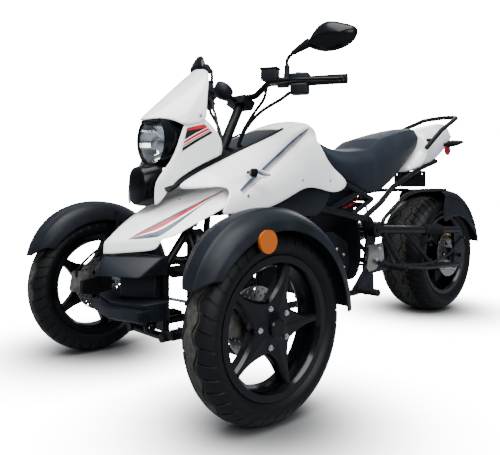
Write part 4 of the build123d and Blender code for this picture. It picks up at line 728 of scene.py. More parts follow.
def rim_and_star(name, hub, sign, seat_r, half_seat, star_x, hub_profile):
    """star_x is the star's back, its face at the hub and its face at the rim."""
    lip = half_seat + 9
    barrel = [(-lip, seat_r + 14), (-lip, seat_r - 5), (-lip + 5, seat_r - 8), (-lip + 16, seat_r - 15),
              (lip - 16, seat_r - 15), (lip - 5, seat_r - 8), (lip, seat_r - 5), (lip, seat_r + 14),
              (lip - 4, seat_r + 15), (half_seat + 1, seat_r + 2), (half_seat, seat_r - 1),
              (-half_seat, seat_r - 1), (-half_seat - 1, seat_r + 2), (-lip + 4, seat_r + 15)]
    barrel = spun(name + "_barrel", barrel, hub, ENAMEL, steps=120, closed=True)
    back, face, tip_face = star_x
    tip_r = seat_r - 12

    def outline(x_hub, x_tip, inset):
        points = []
        for k in range(SPOKES):
            for side in (1, -1):
                shares = [i / SPOKE_STEPS for i in range(SPOKE_STEPS + 1)]
                for out in (shares if side > 0 else reversed(shares)):
                    r = SPOKE_ROOT_R + (tip_r - SPOKE_ROOT_R) * out
                    w = max(SPOKE_TIP_HALF + SPOKE_FLARE * (1 - out) ** SPOKE_CURVE - inset, 4.0)
                    x = x_hub + (x_tip - x_hub) * out
                    a = 2 * math.pi * k / SPOKES
                    y = r * math.cos(a) + side * w * math.sin(a)
                    z = r * math.sin(a) - side * w * math.cos(a)
                    points.append(hub + Vector((sign * x, y, z)) / 1000)
        return points

    def shrunk(points, x, share):
        drawn_in = [hub.lerp(p, share) for p in points]
        return [Vector((hub.x + sign * x / 1000, p.y, p.z)) for p in drawn_in]

    top = outline(face, tip_face, 6.5)
    rows = [shrunk(top, back, 0.1), outline(back, back, 0), outline(face - 8, tip_face - 8, 0),
            outline(face - 1.2, tip_face - 1.2, 5.5), top, shrunk(top, face + 1, 0.1)]
    star = made(name + "_star", *grid(rows, ring=True), ENAMEL)
    outward(star)
    settle(star, split(30))
    hub_part = spun(name + "_hub", [(sign * x, r) for x, r in hub_profile], hub, ENAMEL, steps=64)
    return joined(name, barrel, star, hub_part)


FRONT_HUB_LINE = [(-50, 12.5), (-50, 34), (4, 34), (4, 62), (29, 68), (33, 64), (34, 32), (36, 27), (46, 25),
                  (49, 21), (49, 0)]
REAR_HUB_LINE = [(-133, 10.5), (-133, 34), (-18, 34), (-18, 62), (18, 66), (22, 60), (22, 34), (133, 34),
                 (133, 10.5)]
for side, sign, hub in FRONT_WHEELS:
    wheel = rim_and_star(f"rim_{side}", hub, sign, 178, 37, (4, 32, 37), FRONT_HUB_LINE)
    fit(wheel, f"wheel_{side}", [f"front_rim_{side}"])
wheel = rim_and_star("rim_rear", rear_hub, 1, 190.5, 95, (-18, 20, 16), REAR_HUB_LINE)
fit(wheel, "rear_wheel", ["rear_rim"])


# Brake discs: drilled plates cut from one outline with its holes

DISC_HALF = 2
TOOTH_HEIGHT = 0.07  # as a share of the radius at the teeth's roots


def drilled_disc(name, hub, x, inner, outer, rows_of_holes, material, teeth=0):
    """rows_of_holes is (count, radius of the row, hole radius, turn in degrees); teeth stand on the rim."""
    def circle(r, count, cy=0.0, cz=0.0):
        return [Vector((cy + r * math.cos(t), cz + r * math.sin(t), 0))
                for t in np.linspace(0, 2 * math.pi, count, endpoint=False)]
    loops = [circle(outer, 120), circle(inner, 60)]
    if teeth:
        loops[0] = [p * (1 + TOOTH_HEIGHT * (k // 2 % 2)) for k, p in enumerate(circle(outer, teeth * 4))]
    for count, row_r, hole_r, turn in rows_of_holes:
        for k in range(count):
            t = 2 * math.pi * k / count + math.radians(turn)
            loops.append(circle(hole_r, 12, row_r * math.cos(t), row_r * math.sin(t)))
    flat = [p for loop in loops for p in loop]
    count = len(flat)
    skin = tessellate_polygon(loops)
    verts = [hub + Vector((x + dx, p.x, p.y)) / 1000 for dx in (-DISC_HALF, DISC_HALF) for p in flat]
    faces = [tuple(t) for t in skin] + [tuple(i + count for i in reversed(t)) for t in skin]
    start = 0
    for loop in loops:
        for i in range(len(loop)):
            a, b = start + i, start + (i + 1) % len(loop)
            faces.append((a, b, b + count, a + count))
        start += len(loop)
    obj = made(name, verts, faces, material)
    outward(obj)
    return settle(obj, split(30))


HOLES = [(20, 92, 3.6, 0), (20, 83, 3.6, 9), (20, 74, 3.6, 0), (6, 52, 9, 0)]
REAR_HOLES = [(24, 104, 3.8, 0), (24, 94, 3.8, 7.5), (24, 84, 3.8, 0), (6, 58, 11, 0)]
for side, sign, hub in FRONT_WHEELS:
    disc = drilled_disc(f"brake_disc_{side}", hub, -46 * sign, 34.3, 100, HOLES, DISC)
    fit(disc, f"wheel_{side}", [f"front_disc_{side}"])
disc = drilled_disc("brake_disc_rear", rear_hub, 122, 34.3, 112, REAR_HOLES, REAR_DISC)
fit(disc, "rear_wheel", ["rear_disc"])


# Headlight: bezel, bowl and lens, with the body behind them, the brow above and the beak below

lamp_centre = P(0, -38, 786)
BEZEL = [(70, 82), (6, 88), (-8, 89), (-15, 87), (-18, 83), (-17, 79), (-12, 77), (34, 74), (70, 72)]
bezel = spun("bezel", BEZEL, lamp_centre, GLOSS_BLACK, axis=BACK, closed=True)
LAMP_BODY = [
    (16, [(0, 846), (50, 844), (72, 826), (78, 780), (66, 730), (0, 716)]),
    (60, [(0, 852), (60, 850), (90, 826), (98, 776), (84, 726), (0, 712)]),
    (124, [(0, 846), (60, 842), (94, 820), (110, 776), (96, 736), (0, 722)]),
]
lamp_body = lump("lamp_body", [ring_of(y, half) for y, half in LAMP_BODY], BLACK)
BROW = [
    (-92, [(0, 850), (8, 850), (10, 846), (8, 842), (0, 842)]),
    (-40, [(0, 852), (60, 852), (66, 846), (60, 840), (0, 838)]),
    (20, [(0, 854), (80, 852), (88, 846), (80, 838), (0, 836)]),
    (66, [(0, 854), (88, 852), (96, 846), (88, 838), (0, 836)]),
]
brow = lump("lamp_brow", [ring_of(y, half) for y, half in BROW], BLACK)
BEAK = [
    (-118, [(0, 686), (20, 683), (31, 664), (33, 630), (26, 596), (0, 590)]),
    (-108, [(0, 700), (32, 696), (47, 668), (49, 622), (38, 582), (0, 574)]),
    (-70, [(0, 712), (45, 706), (60, 676), (60, 626), (48, 574), (0, 564)]),
    (-20, [(0, 722), (54, 716), (68, 690), (68, 650), (56, 606), (0, 600)]),
    (20, [(0, 730), (56, 726), (72, 706), (72, 680), (58, 660), (0, 656)]),
]
beak = lump("beak", [ring_of(y, half) for y, half in BEAK], GLOSS_BLACK, sharp_rows=(1,), weight=0.5)
housing = joined("headlight_housing", bezel, lamp_body, brow, beak)
fit(housing, "chassis", ["headlight_shell"])

bowl = spun("bowl", [(60, 6), (52, 30), (34, 52), (10, 69), (-8, 76)], lamp_centre, MIRROR, axis=BACK,
            steps=48)
bulb = spun("bulb", [(60, 9), (22, 9), (18, 7), (16, 0)], lamp_centre, CHROME, axis=BACK, steps=24)
cap = spun("bulb_shade", [(12, 16), (0, 16), (-3, 12), (-4, 0)], lamp_centre, CHROME, axis=BACK, steps=24)
fit(joined("lamp_bowl", bowl, bulb, cap), "chassis")

# Moulded polycarbonate of the lenses: clear, thin, with a faint flute.
CLEAR, clear_tree, clear_shader, clear_place = finish_of("clear_polycarbonate", Roughness=0.03, IOR=1.58,
                                                         Transmission_Weight=1.0)
flute = add(clear_tree, "ShaderNodeTexWave", {"Vector": clear_place, "Scale": 1000 / 60, "Distortion": 0.0})
ripple = add(clear_tree, "ShaderNodeBump", {"Height": flute.outputs["Fac"], "Strength": 0.12,
                                            "Distance": 0.001})
clear_tree.links.new(ripple.outputs["Normal"], clear_shader.inputs["Normal"])
LENS = [(-27, 0), (-26, 26), (-22, 52), (-12, 76.4), (-9, 76.4), (-19, 51), (-23, 26), (-24, 0)]
lens = spun("lamp_lens", LENS, lamp_centre, CLEAR, axis=BACK, steps=64)
fit(lens, "chassis", ["headlight_lens"])


# Bumper: blocks with rounded edges, and a tow eye under each end

BUMPER_BLOCKS = {
    "slab": [(0, -222, 424), (150, -110, 424), (150, -84, 424), (0, -250, 366), (134, -184, 366),
             (140, -84, 366)],
    "back": [(0, -166, 366), (104, -104, 366), (104, -84, 366), (0, -166, 290), (104, -104, 290),
             (104, -84, 290)],
    "chin": [(0, -196, 284), (136, -168, 286), (153, -104, 290), (153, -84, 290), (0, -180, 226),
             (126, -146, 228), (140, -96, 228), (140, -84, 228)],
    "lip": [(0, -214, 264), (146, -194, 268), (0, -212, 234), (144, -190, 240), (0, -180, 220),
            (126, -146, 222), (0, -150, 266), (138, -120, 270)],
}
blocks = []
for name, points in BUMPER_BLOCKS.items():
    both = [P(side * x, y, z) for x, y, z in points for side in ((1, -1) if x else (1,))]
    blocks.append(hull(name, both, BLACK, 5))
LUG_X = 110
LUG_HALF = 6
LUG_RING = [(-LUG_HALF, 8), (-LUG_HALF, 19), (-4, 21), (4, 21), (LUG_HALF, 19), (LUG_HALF, 8)]
LUG_POST = [(-149, 246), (-84, 246), (-147, 218), (-108, 218)]
for sign in (1, -1):
    blocks.append(spun("lug_ring", LUG_RING, P(sign * LUG_X, -128, 214), BLACK, steps=40, closed=True))
    post = [P(sign * LUG_X + dx, y, z) for dx in (-LUG_HALF, LUG_HALF) for y, z in LUG_POST]
    blocks.append(hull("lug_post", post, BLACK, 1.5))
fit(joined("bumper_shell", *blocks), "chassis", ["bumper"])


# Front fenders, which turn with the wheels

NOSE_SHARE = 0.26  # how much of the arch the nose takes, counted from the front end
NOSE_CURVE = 1.6
NOSE_NARROWER = 0.16  # what the tip loses in width, in the depth of its sides and in radius, as shares
NOSE_SHALLOWER = 0.25
NOSE_LOWER = 0.085
CORNER_SHARE = 0.3  # how much of the arch its rounded corners take, and the angle they are cut back by
CORNER_TURN = math.radians(12)
FENDER_HALF = 78
FENDER_WALL = 3.5


def fender(name, hub, section, start, end, rows_count, nosed, columns):
    """An arched skin of (x, radius) sections from side to side; a nosed one is drawn in at the front."""
    top = max(r for _, r in section)
    rows = []
    for k in range(rows_count + 1):
        share = k / rows_count
        angle = math.radians(start + (end - start) * share)
        nose = max(0.0, 1 - share / NOSE_SHARE) ** NOSE_CURVE if nosed else 0.0
        corner = CORNER_TURN * max(0.0, 1 - share / CORNER_SHARE) ** 2 if nosed else 0.0
        row = []
        for x, r in section:
            wide = x * (1 - nose * NOSE_NARROWER)
            tall = (r + (top - r) * nose * NOSE_SHALLOWER) * (1 - NOSE_LOWER * nose)
            turn = angle + corner * (x / FENDER_HALF) ** 2
            row.append(hub + Vector((wide, -tall * math.cos(turn), tall * math.sin(turn))) / 1000)
        rows.append(row)
    return panel(name, rows, BLACK, hub, FENDER_WALL, columns=columns, weight=0.75)


FENDER_SECTION = [(-80, 246), (-78, 274), (-71, 293), (-56, 308), (-30, 315.5), (-27, 319), (22, 319),
                  (25, 315.5), (52, 306), (68, 286), (74, 268), (77, 261), (73, 259)]
left_fender = fender("fender_left", front_hub, FENDER_SECTION, 24, 178, 24, True, (3, 4, 6, 7, 9))
right_fender = mirrored(left_fender, "fender_right")
for side, obj in zip(SIDES, (left_fender, right_fender)):
    fit(obj, f"knuckle_{side}", [f"front_fender_{side}"])


# Bodywork: hood, visor, headlight cheeks, tank covers, their black seals, whose black also paints the gap's
# shade, and the tank's lid

PANEL_WALL = 4


def white_panels(name, rows, inside, **how):
    """A painted panel through rows of places on the left side, and its mirror image."""
    places = [[P(*p) for p in row] for row in rows]
    return pair(name, panel(name, places, WHITE, P(*inside), PANEL_WALL, **how))


HOOD = [
    [(0, -226, 430), (36, -199, 433), (70, -172, 437), (106, -143, 441), (138, -118, 446)],
    [(0, -223, 464), (36, -195, 468), (70, -168, 473), (106, -138, 478), (141, -110, 482)],
    [(0, -186, 496), (40, -160, 499), (80, -130, 499), (122, -98, 493), (162, -74, 484)],
    [(0, -149, 524), (42, -122, 528), (86, -90, 527), (134, -60, 520), (178, -36, 512)],
    [(0, -100, 548), (46, -74, 555), (94, -42, 556), (144, -10, 549), (187, 20, 536)],
    [(0, -40, 576), (50, -14, 585), (102, 20, 587), (152, 50, 577), (191, 78, 560)],
    [(0, 30, 606), (55, 52, 614), (110, 82, 616), (158, 112, 606), (190, 140, 590)],
    [(0, 110, 634), (60, 122, 640), (120, 142, 640), (160, 168, 632), (182, 190, 616)],
]
hood = panel("hood_skin", [across(row) for row in HOOD], WHITE, P(0, 40, 400), PANEL_WALL, columns=(4,),
             sharp_rows=(1,), weight=0.85)
fit(hood, "chassis", ["hood"])

VISOR = [
    [(0, -100, 850), (40, -66, 857), (80, -24, 854), (105, 6, 830), (119, 82, 848)],
    [(0, -78, 872), (42, -48, 876), (80, -9, 878), (107, 20, 864), (118, 86, 876)],
    [(0, -30, 912), (42, -10, 914), (76, 20, 914), (100, 48, 910), (108, 94, 918)],
    [(0, 40, 968), (40, 52, 969), (70, 72, 968), (88, 92, 966), (92, 112, 968)],
    [(0, 100, 1018), (32, 106, 1018), (56, 118, 1014), (68, 126, 1008), (70, 132, 1005)],
    [(0, 132, 1044), (24, 134, 1043), (42, 138, 1038), (52, 140, 1030), (54, 142, 1026)],
]
visor = panel("visor_skin", [across(row) for row in VISOR], WHITE, P(0, 160, 900), PANEL_WALL,
              columns=(0, 1, 4, 7, 8), sharp_rows=(0,), weight=0.4)
fit(visor, "chassis", ["visor"])

CHEEK = [
    [(79, -92, 578), (82, -86, 580), (85, -80, 584), (88, -74, 590)],
    [(80, -92, 640), (86, -74, 640), (92, -54, 640), (97, -34, 644)],
    [(82, -78, 668), (91, -58, 671), (98, -32, 672), (105, -6, 670)],
    [(89, -40, 712), (101, -6, 717), (110, 32, 718), (116, 72, 714)],
    [(94, -20, 755), (107, 24, 756), (118, 80, 752), (125, 144, 742)],
    [(98, -3, 805), (110, 42, 806), (119, 96, 804), (126, 150, 796)],
    [(101, 10, 845), (106, 32, 853), (111, 56, 860), (115, 80, 866)],
]
cheeks = white_panels("cheek_skins", CHEEK, (20, 60, 720), columns=(0,), sharp_rows=(4,), weight=0.5)
fit(cheeks, "chassis", ["headlight_cheeks"])

COVER = [
    [(108, -48, 628), (140, 26, 632), (172, 92, 638), (189, 120, 633), (198, 116, 614), (203, 98, 588),
     (205, 74, 543)],
    [(110, 43, 680), (146, 88, 668), (180, 146, 656), (190, 166, 632), (206, 168, 612), (210, 150, 586),
     (205, 112, 550)],
    [(112, 156, 727), (148, 190, 713), (176, 230, 692), (182, 248, 664), (202, 250, 646), (212, 232, 608),
     (205, 190, 554)],
    [(118, 235, 763), (150, 275, 753), (168, 318, 737), (171, 334, 705), (194, 336, 690), (211, 322, 640),
     (206, 300, 564)],
    [(120, 363, 812), (148, 385, 807), (160, 405, 792), (161, 418, 752), (184, 422, 738), (207, 420, 690),
     (202, 415, 610)],
    [(106, 455, 850), (138, 465, 849), (150, 480, 840), (147, 492, 798), (172, 497, 782), (200, 500, 720),
     (196, 492, 640)],
    [(90, 545, 884), (118, 548, 879), (134, 552, 868), (131, 558, 836), (152, 566, 814), (186, 576, 738),
     (188, 586, 626)],
    [(82, 612, 890), (104, 616, 881), (118, 620, 865), (117, 626, 844), (134, 630, 815), (172, 650, 728),
     (177, 684, 606)],
    [(74, 660, 868), (88, 658, 850), (99, 655, 830), (105, 652, 815), (126, 642, 770), (150, 696, 706),
     (172, 784, 650)],
]
covers = white_panels("tank_cover_skins", COVER, (60, 330, 640), columns=(2, 4), sharp_rows=(0,), weight=0.55)
fit(covers, "chassis", ["tank_cover"])

# A black inner seal in the gap between cheek and cover; its black also stands for the deep shade in that gap.
DARK_GAP_SEAL = [
    [(103, -54, 612), (93, -62, 626), (84, -66, 642)],
    [(105, -4, 646), (97, -14, 662), (88, -20, 684)],
    [(107, 43, 672), (103, 32, 694), (94, 24, 716)],
    [(109, 100, 698), (108, 84, 716), (100, 72, 736)],
    [(109, 156, 720), (112, 142, 736), (104, 128, 756)],
    [(111, 200, 742), (110, 190, 752), (98, 180, 766)],
]
seal = panel("seal", [[P(*p) for p in row] for row in DARK_GAP_SEAL], BLACK, P(0, 60, 640), 3)
EDGE = [(107, -48, 630), (109, 43, 683), (111, 156, 730), (117, 235, 766), (119, 363, 815), (106, 452, 853)]
edge = wire("edge_strip", [P(*p) for p in EDGE], 3.5, RUBBER)
fit(pair("fairing_seals", joined("fairing_seal", seal, edge)), "chassis")

LID = [
    [(0, 160, 722), (60, 160, 724), (106, 160, 724)],
    [(0, 250, 772), (66, 248, 770), (114, 246, 764)],
    [(0, 362, 822), (70, 362, 820), (117, 362, 808)],
    [(0, 440, 852), (66, 442, 850), (106, 444, 842)],
]
lid = panel("tank_lid", [across(row) for row in LID], GLOSS_BLACK, P(0, 300, 600), PANEL_WALL, levels=3)
BRIDGE = [
    [(0, 440, 856), (60, 443, 854), (106, 448, 848)],
    [(0, 500, 884), (56, 502, 880), (99, 502, 868)],
    [(0, 560, 898), (48, 560, 895), (88, 556, 885)],
    [(0, 620, 900), (44, 618, 897), (80, 615, 889)],
    [(0, 668, 872), (40, 666, 871), (73, 662, 867)],
]
bridge = panel("tank_bridge", [across(row) for row in BRIDGE], WHITE, P(0, 520, 600), PANEL_WALL,
               sharp_rows=(0,), levels=3)
fit(joined("tank_top_skin", lid, bridge), "chassis", ["tank_top"])


# Seat: foam under vinyl, with a step up to the pillion

SEAT_RINGS = [
    # y, top z, half width of the flat top, widest half and its z, half width and z of the lower edge
    (640, 850, 60, 92, 812, 82, 744),
    (690, 822, 76, 110, 776, 94, 722),
    (741, 799, 87, 124, 744, 104, 700),
    (820, 788, 95, 134, 726, 114, 667),
    (900, 792, 102, 142, 730, 120, 628),
    (985, 804, 105, 144, 740, 123, 605),
    (1070, 852, 104, 140, 754, 118, 625),
    (1130, 868, 100, 134, 772, 112, 650),
    (1200, 886, 95, 126, 792, 104, 684),
    (1300, 908, 84, 112, 830, 92, 748),
    (1400, 924, 72, 98, 866, 82, 812),
    (1448, 916, 60, 84, 884, 72, 846),
]
rings = []
for y, top, flat, wide, wide_z, low_half, low_z in SEAT_RINGS:
    rings.append(ring_of(y, [(0, top + 3), (flat * 0.55, top + 2), (flat, top - 7),
                             (flat + (wide - flat) * 0.6, top - 34), (wide, wide_z),
                             (low_half + 3, low_z + 8), (low_half - 4, low_z), (0, low_z + 4)]))
seat = lump("seat_pad", rings, SEAT_VINYL, columns=(2, 12, 6, 8), sharp_rows=(5, 6), weight=0.65, levels=3)
fit(seat, "chassis", ["seat"])


# Tail: one moulded cowl behind the seat, with a wedge that runs forward under it

TAIL = [
    (1335, [(0, 741), (56, 739), (80, 730), (90, 718), (78, 707), (0, 706)]),
    (1400, [(0, 790), (68, 786), (96, 762), (104, 736), (84, 713), (0, 711)]),
    (1447, [(0, 836), (70, 832), (102, 800), (112, 770), (84, 718), (0, 716)]),
    (1460, [(0, 906), (68, 904), (100, 878), (118, 806), (84, 720), (0, 718)]),
    (1530, [(0, 930), (64, 926), (96, 897), (116, 828), (86, 733), (0, 731)]),
    (1600, [(0, 950), (60, 946), (92, 914), (112, 850), (86, 764), (0, 761)]),
    (1700, [(0, 968), (48, 964), (76, 934), (96, 884), (70, 814), (0, 810)]),
    (1758, [(0, 978), (38, 974), (60, 946), (82, 902), (58, 856), (0, 850)]),
]
tail = lump("tail_skin", [ring_of(y, half) for y, half in TAIL], WHITE, columns=(3, 7),
            sharp_rows=(0, 2, 3, 7), weight=0.75)
fit(tail, "chassis", ["tail_cowl"])


# Rear fender: the wide shell over the tyre, its side skirts and the two stays that carry it

REAR_SECTION = [(-137, 284), (-136, 296), (-131, 309), (-122, 320), (-80, 331), (-72, 332), (72, 332),
                (80, 331), (122, 320), (131, 309), (136, 296), (137, 284)]
rear_shell = fender("rear_shell", rear_hub, REAR_SECTION, 80, 172, 16, False, (3, 4, 7, 8))
# The skirts' upper and lower edges as (y, z); they are deepest at the front
SKIRT = [((1594, 594), (1567, 452)), ((1640, 596), (1626, 472)), ((1700, 588), (1681, 488)),
         ((1782, 556), (1752, 486)), ((1862, 496), (1826, 450)), ((1922, 420), (1896, 400)),
         ((1944, 362), (1934, 356))]
SKIRT_HALF = 134
SKIRT_FLARE = 4
skirt_rows = [[P(SKIRT_HALF + SKIRT_FLARE * t, y0 + (y1 - y0) * t, z0 + (z1 - z0) * t) for t in (0, 0.5, 1)]
              for (y0, z0), (y1, z1) in SKIRT]
skirt = panel("skirt", skirt_rows, BLACK, rear_hub, FENDER_WALL, sharp_rows=(0, 6), weight=0.8)
STAY = [(170, 1000, 471), (170, 1000, 486), (168, 1012, 500), (160, 1112, 552), (146, 1222, 602),
        (126, 1330, 613), (112, 1418, 621), (108, 1641, 619)]
stay = wire("stay", [P(*p) for p in STAY], 9, POWDER)
rear_fender = joined("rear_fender_shell", rear_shell, pair("skirts", skirt), pair("stays", stay))
fit(rear_fender, "chassis", ["rear_fender"])


# Side panels under the tank cover

KNEE_SIDE = [(150, 560), (300, 578), (415, 620), (492, 650), (586, 640), (652, 612), (620, 560), (575, 528),
             (330, 520)]
side_panels = pair("side_panel_skins", plate("side_panel", KNEE_SIDE, 164.5, 171, BLACK, 2.5))
fit(side_panels, "chassis", ["side_panels"])


# Foot rests: a satin stainless carrier plate, a black strap below it and ribbed rubber pegs

CARRIER = [(951, 404), (860, 398), (839, 307), (858, 290), (900, 296), (962, 336)]
STRAP_LINE = [(839, 318), (750, 233), (752, 221), (808, 217), (818, 222), (886, 281), (1004, 286),
              (1004, 318), (962, 336), (900, 322)]
carrier = plate("carrier", CARRIER, 199, 204, STRAP, 1.2)
strap = plate("strap", STRAP_LINE, 196, 201, BLACK, 1.2)
PIN = [(0, 10), (46, 10), (46, 7), (56, 7), (56, 0)]
pins = [spun("pin", PIN, P(149.3, y, z), ZINC, steps=20) for y, z in ((930, 380), (910, 335))]
fit(pair("foot_carriers", joined("carriers", carrier, strap, *pins)), "chassis", ["foot_hangers"])
PEG = [(0, 0), (0, 10), (8, 10), (8, 15)]
PEG += [(9 + 7 * k + d, r) for k in range(12) for d, r in ((0, 14), (0.8, 11.6), (2.6, 11.6), (3.4, 14))]
PEG += [(93, 14), (96, 12), (97, 0)]
pegs = [spun("peg", PEG, P(203.3, y, z), RUBBER, steps=36) for y, z in ((785, 226), (985, 302))]
fit(pair("ribbed_pegs", joined("pegs", *pegs)), "chassis", ["foot_pegs"])


# Handlebar controls, drawn on the left and mirrored

bar_root = P(150, 335, 1000)
bar_run = P(392, 463, 1000) - bar_root
bar_ahead = bar_run.cross(Vector(UP)).normalized()


def on_bar(share, ahead=0, up=0):
    """A point by the straight stretch of the left bar, moved ahead of it and up in millimetres."""
    return bar_root + bar_run * share + bar_ahead * (ahead / 1000) + Vector((0, 0, up / 1000))


GRIP = [(0, 12), (0, 21), (4, 22), (6, 17)]
GRIP += [(7 + 4.2 * k + d, r) for k in range(30) for d, r in ((0, 15.4), (0.6, 17), (3, 17), (3.6, 15.4))]
GRIP += [(134, 17), (138, 16), (139, 12), (139, 0)]
grips = pair("ribbed_grips", spun("grip", GRIP, on_bar(0.515), RUBBER, axis=bar_run, steps=40))
fit(grips, "steering_column", ["grips"])
switch_top = brick("switch_top", on_bar(0.42, -2, 12), bar_run, UP, (66, 42, 34), BLACK, 7)
switch_low = brick("switch_low", on_bar(0.42, 2, -27), bar_run, UP, (64, 40, 40), BLACK, 8)
rocker = brick("rocker", on_bar(0.44, -24, 12), bar_run, UP, (16, 8, 9), GLOSS_BLACK, 2)
slider = brick("slider", on_bar(0.4, 2, 30), bar_run, UP, (18, 10, 6), GLOSS_BLACK, 2)
button = brick("push_button", on_bar(0.44, -23, -22), bar_run, UP, (10, 8, 10), RED, 2.5)
switches = pair("switch_boxes", joined("switch_box", switch_top, switch_low, rocker, slider, button))
fit(switches, "steering_column", ["switchgear"])
tank = brick("reservoir", on_bar(0.06, 30, 22), bar_run, UP, (60, 42, 40), BLACK, 6)
lid_plate = brick("reservoir_lid", on_bar(0.06, 30, 44), bar_run, UP, (64, 46, 7), BLACK, 2)
lid_screws = screws("lid_screws", [(on_bar(0.06 + s, 30, 47), UP) for s in (-0.09, 0.09)], 2.6, 2, ZINC)
perch = brick("lever_perch", on_bar(0.1, 18, 2), bar_run, UP, (44, 30, 20), BLACK, 5)
CLAMP = [(-20, 12), (-20, 17), (-18, 19), (18, 19), (20, 17), (20, 12)]
clamp = spun("lever_clamp", CLAMP, on_bar(0.2), BLACK, axis=bar_run, steps=32, closed=True)
arm = brick("lever_arm", on_bar(0.2, 20), bar_run, UP, (30, 26, 14), BLACK, 4)
# The blade's line as shares of the bar's length, and how far ahead of it and up
BLADE = [(0.2, 30, 0), (0.3, 52, -2), (0.42, 62, -4), (0.6, 62, -6), (0.8, 60, -8), (0.98, 58, -10)]
BALL = [(-9, 0), (-8, 4.5), (-4.5, 8), (0, 9), (4.5, 8), (8, 4.5), (9, 0)]
blade = wire("lever_blade", [on_bar(*p) for p in BLADE], 6.5, GLOSS_BLACK)
ball = spun("lever_ball", BALL, on_bar(*BLADE[-1]), GLOSS_BLACK, axis=bar_run, steps=20)
lever_set = joined("lever_set", tank, lid_plate, lid_screws, perch, clamp, arm, blade, ball)
fit(pair("lever_sets", lever_set), "steering_column", ["levers"])


# Mirrors: a keeled shell round its glass, on a bent stem with rubber boots

facing = Vector((0.35, -0.94, 0)).normalized()
wide = Vector((0.94, 0.35, 0.22)).normalized()
tall = facing.cross(wide)
MIRROR_EDGE = [(-95, -12), (-74, 12), (-42, 40), (-5, 50), (26, 36), (57, 17), (87, -2), (93, -22), (78, -45),
               (51, -59), (8, -62), (-37, -53), (-69, -33)]
MIRROR_MIDDLE = P(360, 425, 1150)
KEEL_HEIGHT = -4
KEEL_SLOPE = -0.12
KEEL_LENGTH = 0.35  # as a share of the mirror's width


def mirror_ring(depth, share):
    """The mirror's edge at a depth ahead of the glass, drawn in towards its keel."""
    ring = []
    for u, v in MIRROR_EDGE:
        keel = KEEL_HEIGHT + KEEL_SLOPE * u
        along = u * (KEEL_LENGTH + (1 - KEEL_LENGTH) * share)
        height = keel + (v - keel) * share
        ring.append(MIRROR_MIDDLE + (facing * depth + wide * along + tall * height) / 1000)
    return ring


SHELL_RINGS = [(-2, 0.96), (0, 1), (9, 0.97), (19, 0.8), (27, 0.46), (32, 0.08)]
PANE_RINGS = [(-3.4, 0.2), (-3.4, 0.9), (-2.6, 0.93), (-1, 0.93)]
STEM = [(210, 367, 1056), (207, 369, 1080), (224, 378, 1100), (262, 392, 1120), (304, 404, 1138)]
STEM_BOOT = [(0, 0), (0, 12), (16, 12), (20, 10), (44, 10), (48, 7), (52, 6)]
RIB = [(0, -0.8), (1.2, 0.8), (4.2, 0.8), (5.4, -0.8)]
shell = lump("mirror_shell", [mirror_ring(*r) for r in SHELL_RINGS], GLOSS_BLACK, sharp_rows=(0, 1, 5),
             weight=0.6)
stem_foot = on_bar(0.25, 0, 12)
stem = wire("mirror_stem", [stem_foot, *[P(*p) for p in STEM]], 6, GLOSS_BLACK)
boot = spun("stem_boot", STEM_BOOT, stem_foot, RUBBER, axis=UP, steps=24)
neck_start, neck_end = P(226, 379, 1101), P(292, 401, 1134)
ribs = [(k * 6 + d, 8.5 + k * 0.7 + r) for k in range(12) for d, r in RIB]
sleeve = spun("neck_boot", [(-2, 6), *ribs, (76, 6)], neck_start, RUBBER, axis=neck_end - neck_start,
              steps=24)
mirrors = pair("mirror_bodies", joined("mirror_body", shell, stem, boot, sleeve))
fit(mirrors, "steering_column", ["mirrors"])
pane = lump("mirror_pane", [mirror_ring(*r) for r in PANE_RINGS], MIRROR, sharp_rows=(1, 2, 3), weight=0.9)
fit(pair("mirror_panes", pane), "steering_column", ["mirror_glass"])


# Instruments: a pod tilted up towards the rider, with a round dial and three tell-tales

dash_up = Vector((0, 0.643, 0.766))
dash_mid = P(0, 247, 977)
POD = [(-20, 0), (-20, 12), (-16, 24), (-4, 33), (14, 36), (20, 36), (22, 34), (18, 32)]
pod = spun("pod", POD, dash_mid, BLACK, axis=dash_up, steps=48)
dial = spun("dial", [(17.6, 0), (17.6, 33)], dash_mid, GLOSS_BLACK, axis=dash_up, steps=48)
dial_x, dial_y = Vector(SIDEWAYS), dash_up.cross(Vector(SIDEWAYS))
dial_arc = [dash_mid + dash_up * 0.0179 + (dial_x * math.cos(a) + dial_y * math.sin(a)) * 0.027
            for a in [math.radians(-40 + 260 * k / 60) for k in range(61)]]
tick = brick("tick", Vector(), SIDEWAYS, UP, (1.2, 6, 0.5), WHITE, 0.1)
ticks = row_of("dial_ticks", tick, dial_arc, 8.2, dash_up, WHITE)
needle_mid = dash_mid + dash_up * 0.0192 - dial_x * 0.009
needle = brick("needle", needle_mid, (1, 0.35, -0.29), dash_up, (26, 1.6, 1), RED, 0.3)
lamp_mid = dash_mid + dash_up * 0.0182 - dial_y * 0.016
tell_tales = [brick("tell_tale", lamp_mid + dial_x * x, SIDEWAYS, dash_up, (5, 4, 1.4), colour, 0.4)
              for x, colour in ((-0.009, RED), (0, AMBER), (0.009, SMOKED))]
stalk_foot = P(0, 312, 955)
foot = wire("pod_stalk", [dash_mid, dash_mid.lerp(stalk_foot, 0.5), stalk_foot], 9, POWDER)
instruments = joined("instrument_pod", pod, dial, ticks, needle, *tell_tales, foot)
fit(instruments, "steering_column", ["dash"])


# Dampers: a body, a rod, two eyes and a real spring

CUP_WALL = 8  # thickness of the cups that hold the spring, and how far they stand out past its middle line
CUP_EDGE = 5
DAMPER_ROD_R = 8
DAMPER_BODY_SHARE = 0.58


